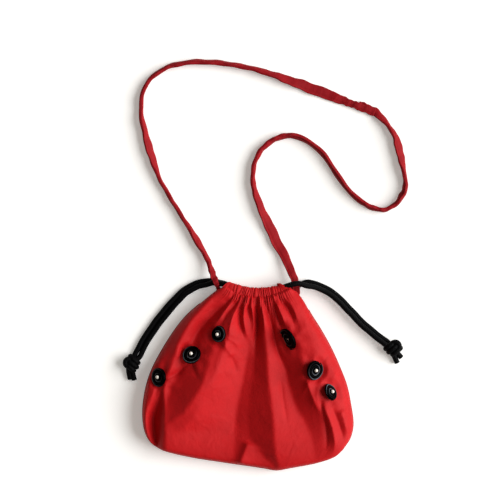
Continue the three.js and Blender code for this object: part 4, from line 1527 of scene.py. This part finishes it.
@dataclass
class Strap:
    """The sewn shoulder strap in two lengths, lapped and stitched at their joint.

    Each route row holds plan x and y, the turn of the band in degrees, its lift and its width.
    """

    plan: BagPlan
    width: float = 13.5
    thickness: float = 2.0
    bunching: float = 0.34
    swelling: float = 1.6
    edge_roundness: float = 0.45
    face_roundness: float = 0.6
    pucker: float = 0.34
    pucker_pitches: tuple[float, ...] = (2.3, 3.3, 4.1, 17.0)
    stitch_place: float = 0.38
    stitch_width: float = 0.13
    stitch_depth: float = 0.55
    left_tuck: float = 5.5
    right_tuck: float = 9.0
    tuck: float = 7.0
    tuck_drop: float = 0.25
    route_steps: int = 12
    cells: int = 380
    sides: int = 32
    girth: float = 31.0

    def __post_init__(self) -> None:
        """Lays out the two routes."""
        lift = self.thickness + self.plan.fit_gap
        ear, far = self.plan.left_ear, self.plan.right_ear
        zero, one = np.array([0.0]), np.array([1.0])
        left_z = float(self.plan.seam_level(zero, zero)[0]) - self.thickness / 2
        right_z = float(self.plan.seam_level(one, zero)[0]) - self.thickness / 2
        self.left_route = self.full_rows((
            (ear[0], ear[1] - self.tuck, 0, left_z - self.tuck_drop, self.left_tuck),
            (ear[0], ear[1] + 0.5, 0, left_z, self.left_tuck),
            (-36.6, 109, 0, 18.6, self.left_tuck), (-39, 115, 4, 18.8, 6.5), (-43, 125, 48, 7.5, 11),
            (-48.5, 140, 84), (-62, 164, 42), (-77, 188, 100), (-92.5, 213, 98),
            (-106.5, 238, 92), (-116, 266, 32), (-123.6, 293, 60),
            (-128.3, 322, 88), (-122, 349, 100), (-100.5, 368, 108),
            (-73, 375.5, 114), (-44, 376, 118), (-15.5, 372.5, 112),
            (12.5, 366.5, 115), (40, 357.7, 138), (67, 348, 168),
            (94, 338.2, 176), (113, 330.8, 176, 0, 10.5), (125, 326.2, 180, lift, 8.5),
            (137, 321.6, 180, lift, 9.5), (152, 316, 180, lift, 9.5),
        ))
        self.right_route = self.full_rows((
            (132.5, 325.6, 180, 0, 9.5), (142, 321.6, 180, 0, 10), (152, 316.8, 178, 0, 10),
            (161, 308.5, 138, 0, 11), (169.5, 298, 98), (176.3, 287, 128),
            (181, 272, 148), (184.5, 255, 128), (188, 238, 96), (188, 225, 66),
            (184, 216, 60), (176, 205.5, 78), (163.7, 199.5, 98),
            (149.6, 201.7, 108), (136.8, 208.3, 106), (116, 228, 108),
            (100, 252, 112), (82, 274, 110), (57, 287.5, 112), (42, 287.3, 112),
            (28.7, 281.9, 109), (17.6, 272.8, 112), (10, 261, 101),
            (6.3, 247, 102), (6.1, 232.7, 107), (9, 218.8, 122),
            (19.7, 192, 146), (31.7, 166.4, 168), (44.9, 141, 166, 3, 11.2),
            (51.5, 126, 166, 7.5, 10), (55.8, 114, 174, 10.6, 9),
            (far[0], far[1] + 2, 180, right_z, self.right_tuck),
            (far[0], far[1] - self.tuck, 180, right_z - self.tuck_drop, self.right_tuck),
        ))

    def full_rows(self, rows: Points) -> list[Sequence[float]]:
        """Rows of a route, where a short one lies on the floor at the full width."""
        return [row if len(row) == 5 else (*row, 0.0, self.width) for row in rows]

    def band(self, name: str, route: Points, node: str) -> bpy.types.Object:
        """Sweeps one length of the strap.

        Args:
            name: name of the piece.
            route: rows of its lie.
            node: the solid that it stands for.

        Returns:
            The dressed piece.
        """
        steps = self.route_steps
        rows = np.array(route, dtype=float)
        plan = Route(rows[:, :2], steps).samples
        spots = np.arange(len(plan)) / steps
        kernel = np.hanning(2 * steps - 1)
        kernel /= kernel.sum()

        def eased(column: int) -> np.ndarray:
            """A column of the route, without corners."""
            values = np.interp(spots, np.arange(len(rows)), rows[:, column])
            return np.convolve(np.pad(values, steps - 1, mode="edge"), kernel, mode="valid")

        turn, lift, width = np.radians(eased(2)), eased(3), eased(4)
        bunched = np.abs(np.sin(turn)) ** 2
        width = width * (1 - self.bunching * bunched)
        thick = self.thickness * (1 + self.swelling * bunched)
        heading = np.gradient(plan, axis=0)
        heading /= np.linalg.norm(heading, axis=1)[:, None]
        zero = np.zeros(len(plan))
        left = np.stack([-heading[:, 1], heading[:, 0], zero], axis=-1)
        up = np.array([0.0, 0.0, 1.0])
        c, s = np.cos(turn)[:, None], np.sin(turn)[:, None]
        level = lift + np.abs(s[:, 0]) * width / 2 + np.abs(c[:, 0]) * thick / 2
        level = level + self.pucker * (1 - smooth(0, self.thickness, lift))
        centre = np.column_stack([plan, level])
        band = Band(centre, left * c + up * s, up * c - left * s)
        length = float(np.linalg.norm(np.diff(centre, axis=0), axis=1).sum())
        fine, middle, coarse, slow = self.pucker_pitches

        def place(u: np.ndarray, v: np.ndarray) -> np.ndarray:
            """Finds points of the band, with soft, slightly puckered edges.

            Args:
                u: shares along it.
                v: shares round it.

            Returns:
                The points.
            """
            angle = 2 * math.pi * v
            ca, sa = np.cos(angle), np.sin(angle)
            where = u * (len(centre) - 1)
            spot = np.arange(len(centre))
            along = u * length
            pucker = np.sin(along / fine + 2 * np.sin(along / slow)) + np.sin(along / coarse + 1)
            half = np.interp(where, spot, width) / 2 + self.pucker * pucker * np.sign(ca)
            a = half * np.sign(ca) * np.abs(ca) ** self.edge_roundness
            f = np.interp(where, spot, thick) / 2 * np.sign(sa) * np.abs(sa) ** self.face_roundness
            groove = np.exp(-(((ca - self.stitch_place) / self.stitch_width) ** 2))
            f = f * (1 - self.stitch_depth * groove)
            f = f + self.pucker * np.sin(along / middle + 1.5 * ca)
            return band.place(u, a, f)

        piece = grid_piece(name, self.cells, self.sides, place, (length, self.girth), closed=True)
        dress(piece, RED_TAPE, Slot.RED_STRAP, node)
        return piece

    def build(self) -> None:
        """Builds both lengths."""
        self.band("strap_left_tape", self.left_route, "strap_left_length")
        back = [(x, y, 180 - turn, lift, width) for x, y, turn, lift, width in self.right_route[::-1]]
        self.band("strap_right_tape", back, "strap_right_length")


@dataclass
class RosetteSet:
    """Six rolled rosettes with their beads."""

    plan: BagPlan
    thickness: float = 3.2
    pitch: float = 2.6
    radius: float = 10.9
    tack_height: float = 1.5
    tack_radius: float = 3.4
    inner: float = 1.5
    first_turn: float = 1.1
    inner_taper: float = 0.02
    outer_taper: float = 0.04
    least_taper: float = 0.15
    lap: float = 0.51
    waviness: float = 0.25
    # Sharpness of the painted highlight along the top of the roll, and the phase that puts it on every
    # second turn
    highlight_power: float = 14.0
    highlight_phase: float = 0.9
    backing_inset: float = 1.2
    bead: float = 4.1
    bead_hole: float = 0.45
    bead_sunk: float = 1.1
    roll_cells: int = 260
    roll_sides: int = 20
    backing_sides: int = 40
    bead_points: int = 22
    bead_sides: int = 32

    def seat(self, rosette: Rosette, centre: np.ndarray, lift: float) -> tuple[np.ndarray, np.ndarray]:
        """Finds where a layer of a rosette sits.

        Args:
            rosette: the rosette.
            centre: its place on the cloth.
            lift: how far the layer stands off the cloth.

        Returns:
            Axes of the seat as rows, and the layer's origin.
        """
        normal = rosette.normal
        first = np.cross([0.0, 1.0, 0.0], normal)
        first /= np.linalg.norm(first)
        axes = np.array([first, np.cross(normal, first), normal])
        return axes, centre + np.array([0, 0, self.plan.cloth / 2]) + axes[2] * lift

    def roll(self, rosette: Rosette, centre: np.ndarray) -> bpy.types.Object:
        """Winds the rolled strip in a spiral from the bead outwards.

        Args:
            rosette: the rosette.
            centre: its place on the cloth.

        Returns:
            The dressed piece.
        """
        lift = self.tack_height + self.plan.fit_gap + self.thickness / 2
        axes, origin = self.seat(rosette, centre, lift)
        outer = self.radius * rosette.size - self.pitch / 2
        turns = (outer - self.inner) / self.pitch

        def place(u: np.ndarray, v: np.ndarray) -> np.ndarray:
            """Finds points of the roll.

            Args:
                u: shares along the strip.
                v: shares round it.

            Returns:
                The points.
            """
            angle = 2 * math.pi * turns * u + self.first_turn
            radius = self.inner + (outer - self.inner) * u
            around = 2 * math.pi * v
            ends = np.minimum(u / self.inner_taper, (1 - u) / self.outer_taper)
            taper = np.clip(ends, self.least_taper, 1) ** 0.5
            r = radius + self.lap * self.pitch * np.cos(around) * taper
            h = 0.5 * self.thickness * np.sin(around) * taper + self.waviness * np.sin(3 * angle + 1)
            local = np.stack([r * np.cos(angle), r * np.sin(angle), h], axis=-1)
            return origin + local @ axes

        def highlight_crest(u: np.ndarray, v: np.ndarray) -> np.ndarray:
            """How near the top of the roll a place is, on every second turn: where the highlight is
            painted.
            """
            top = np.clip(np.sin(2 * math.pi * v), 0, 1) ** self.highlight_power
            return top * np.clip(np.cos(math.pi * turns * (1 - u) - self.highlight_phase), 0, 1) ** 2

        size = (math.pi * outer * turns, math.pi * self.thickness)
        name = f"rosette_{rosette.name}"
        cells, sides = self.roll_cells, self.roll_sides
        piece = grid_piece(f"{name}_roll", cells, sides, place, size, closed=True, highlight_crest=highlight_crest)
        return dress(piece, RolledCloth(), Slot.BLACK_CLOTH, name)

    def backing(self, rosette: Rosette, centre: np.ndarray) -> bpy.types.Object:
        """Turns the round of cloth that the roll is sewn to, with its tack.

        Args:
            rosette: the rosette.
            centre: its place on the cloth.

        Returns:
            The dressed piece.
        """
        axes, origin = self.seat(rosette, centre, self.plan.fit_gap)
        wide = self.plan.rosette_radius * rosette.size - self.backing_inset
        tack = self.tack_radius
        profile = (
            (0.0, 0.0), (tack - 0.2, 0.0), (tack, 0.4), (tack, 1.1),
            (wide, 1.3), (wide + 0.3, 1.6), (wide, 1.9), (0.0, 2.0),
        )
        bm = lathe([(x, 0.0, z) for x, z in profile], self.backing_sides)
        settle(bm, axes, origin)
        piece = mesh_piece(f"rosette_{rosette.name}_backing", bm)
        return dress(piece, RolledCloth(), Slot.BLACK_CLOTH)

    def pearl(self, rosette: Rosette, centre: np.ndarray) -> bpy.types.Object:
        """Turns the drilled bead in the middle, its hole lying along the cloth.

        Args:
            rosette: the rosette.
            centre: its place on the cloth.

        Returns:
            The dressed piece.
        """
        radius = self.bead / 2
        top = self.tack_height + self.thickness + self.plan.fit_gap
        axes, origin = self.seat(rosette, centre, top + radius - self.bead_sunk - rosette.sunk)
        edge = math.asin(self.bead_hole / radius)
        angles = np.linspace(edge, math.pi - edge, self.bead_points)
        tall = radius * math.cos(edge)
        inside = (self.bead_hole * 0.8, tall * 0.9)
        profile = [inside]
        profile += [(radius * math.sin(angle), radius * math.cos(angle)) for angle in angles]
        profile += [(inside[0], -inside[1]), inside]
        bm = lathe([(0.0, x, z) for x, z in profile], self.bead_sides)
        sideways = Matrix.Rotation(math.pi / 2, 3, "X")
        bmesh.ops.rotate(bm, verts=bm.verts, cent=(0, 0, 0), matrix=sideways)
        settle(bm, axes, origin)
        name = f"bead_{rosette.name}"
        piece = mesh_piece(f"{name}_pearl", bm)
        return dress(piece, PearlCoat(), Slot.PEARL, name)

    def build(self) -> None:
        """Builds all six."""
        for rosette, centre in self.plan.seats:
            self.roll(rosette, centre)
            self.backing(rosette, centre)
            self.pearl(rosette, centre)


@dataclass
class Studio:
    """Paper table, soft light from the right and the camera straight above."""

    middle: tuple[float, float] = (2.4, 151.2)
    frame_width: float = 600.0
    camera_height: float = 2500.0
    sensor: float = 36.0
    floor_size: float = 6000.0
    level: float = 1.0
    fill: float = 0.22
    fill_colour: str = "fff2de"
    light_height: float = 31.0
    light_bearing: float = 4.0
    light_spread: float = 56.0

    def build(self) -> None:
        """Floor, lights, world and camera."""
        self.floor()
        self.lights()
        self.camera()

    def floor(self) -> None:
        """The paper that the bag lies on."""
        bm = bmesh.new()
        bmesh.ops.create_grid(bm, x_segments=8, y_segments=8, size=self.floor_size * MM / 2)
        piece = mesh_piece("paper_floor", bm)
        piece.data.materials.append(PaperSweep().material())

    def lights(self) -> None:
        """A broad lamp on the right, and even light from all round."""
        lamp = bpy.data.lights.new("window_light", "SUN")
        lamp.angle = math.radians(self.light_spread)
        lamp.energy = math.pi * (self.level - self.fill) / math.sin(math.radians(self.light_height))
        window = bpy.data.objects.new("window_light", lamp)
        tilt = math.radians(90 - self.light_height)
        window.rotation_euler = (0.0, tilt, math.radians(self.light_bearing))
        bpy.context.collection.objects.link(window)
        world = bpy.data.worlds.new("studio")
        bpy.context.scene.world = world
        world.use_nodes = True
        back = world.node_tree.nodes["Background"]
        back.inputs["Color"].default_value = linear(self.fill_colour)
        back.inputs["Strength"].default_value = self.fill

    def camera(self) -> None:
        """The camera, looking straight down."""
        data = bpy.data.cameras.new("camera")
        data.sensor_width = self.sensor
        data.lens = self.sensor * self.camera_height / self.frame_width
        camera = bpy.data.objects.new("camera", data)
        camera.location = (self.middle[0] * MM, self.middle[1] * MM, self.camera_height * MM)
        bpy.context.collection.objects.link(camera)
        bpy.context.scene.camera = camera


def main() -> None:
    """Builds the bag and its studio."""
    logging.basicConfig(level=logging.INFO, format="%(name)s: %(message)s")
    bpy.context.scene.view_settings.view_transform = "Standard"
    Studio().build()
    plan = BagPlan()
    Drawcords(plan).build()
    Strap(plan).build()
    for side in Side:
        Panel(plan, side).build()
        Casing(plan, side).build()
    SeamWelt(plan).build()
    RosetteSet(plan).build()


if __name__ == "__main__":
    main()
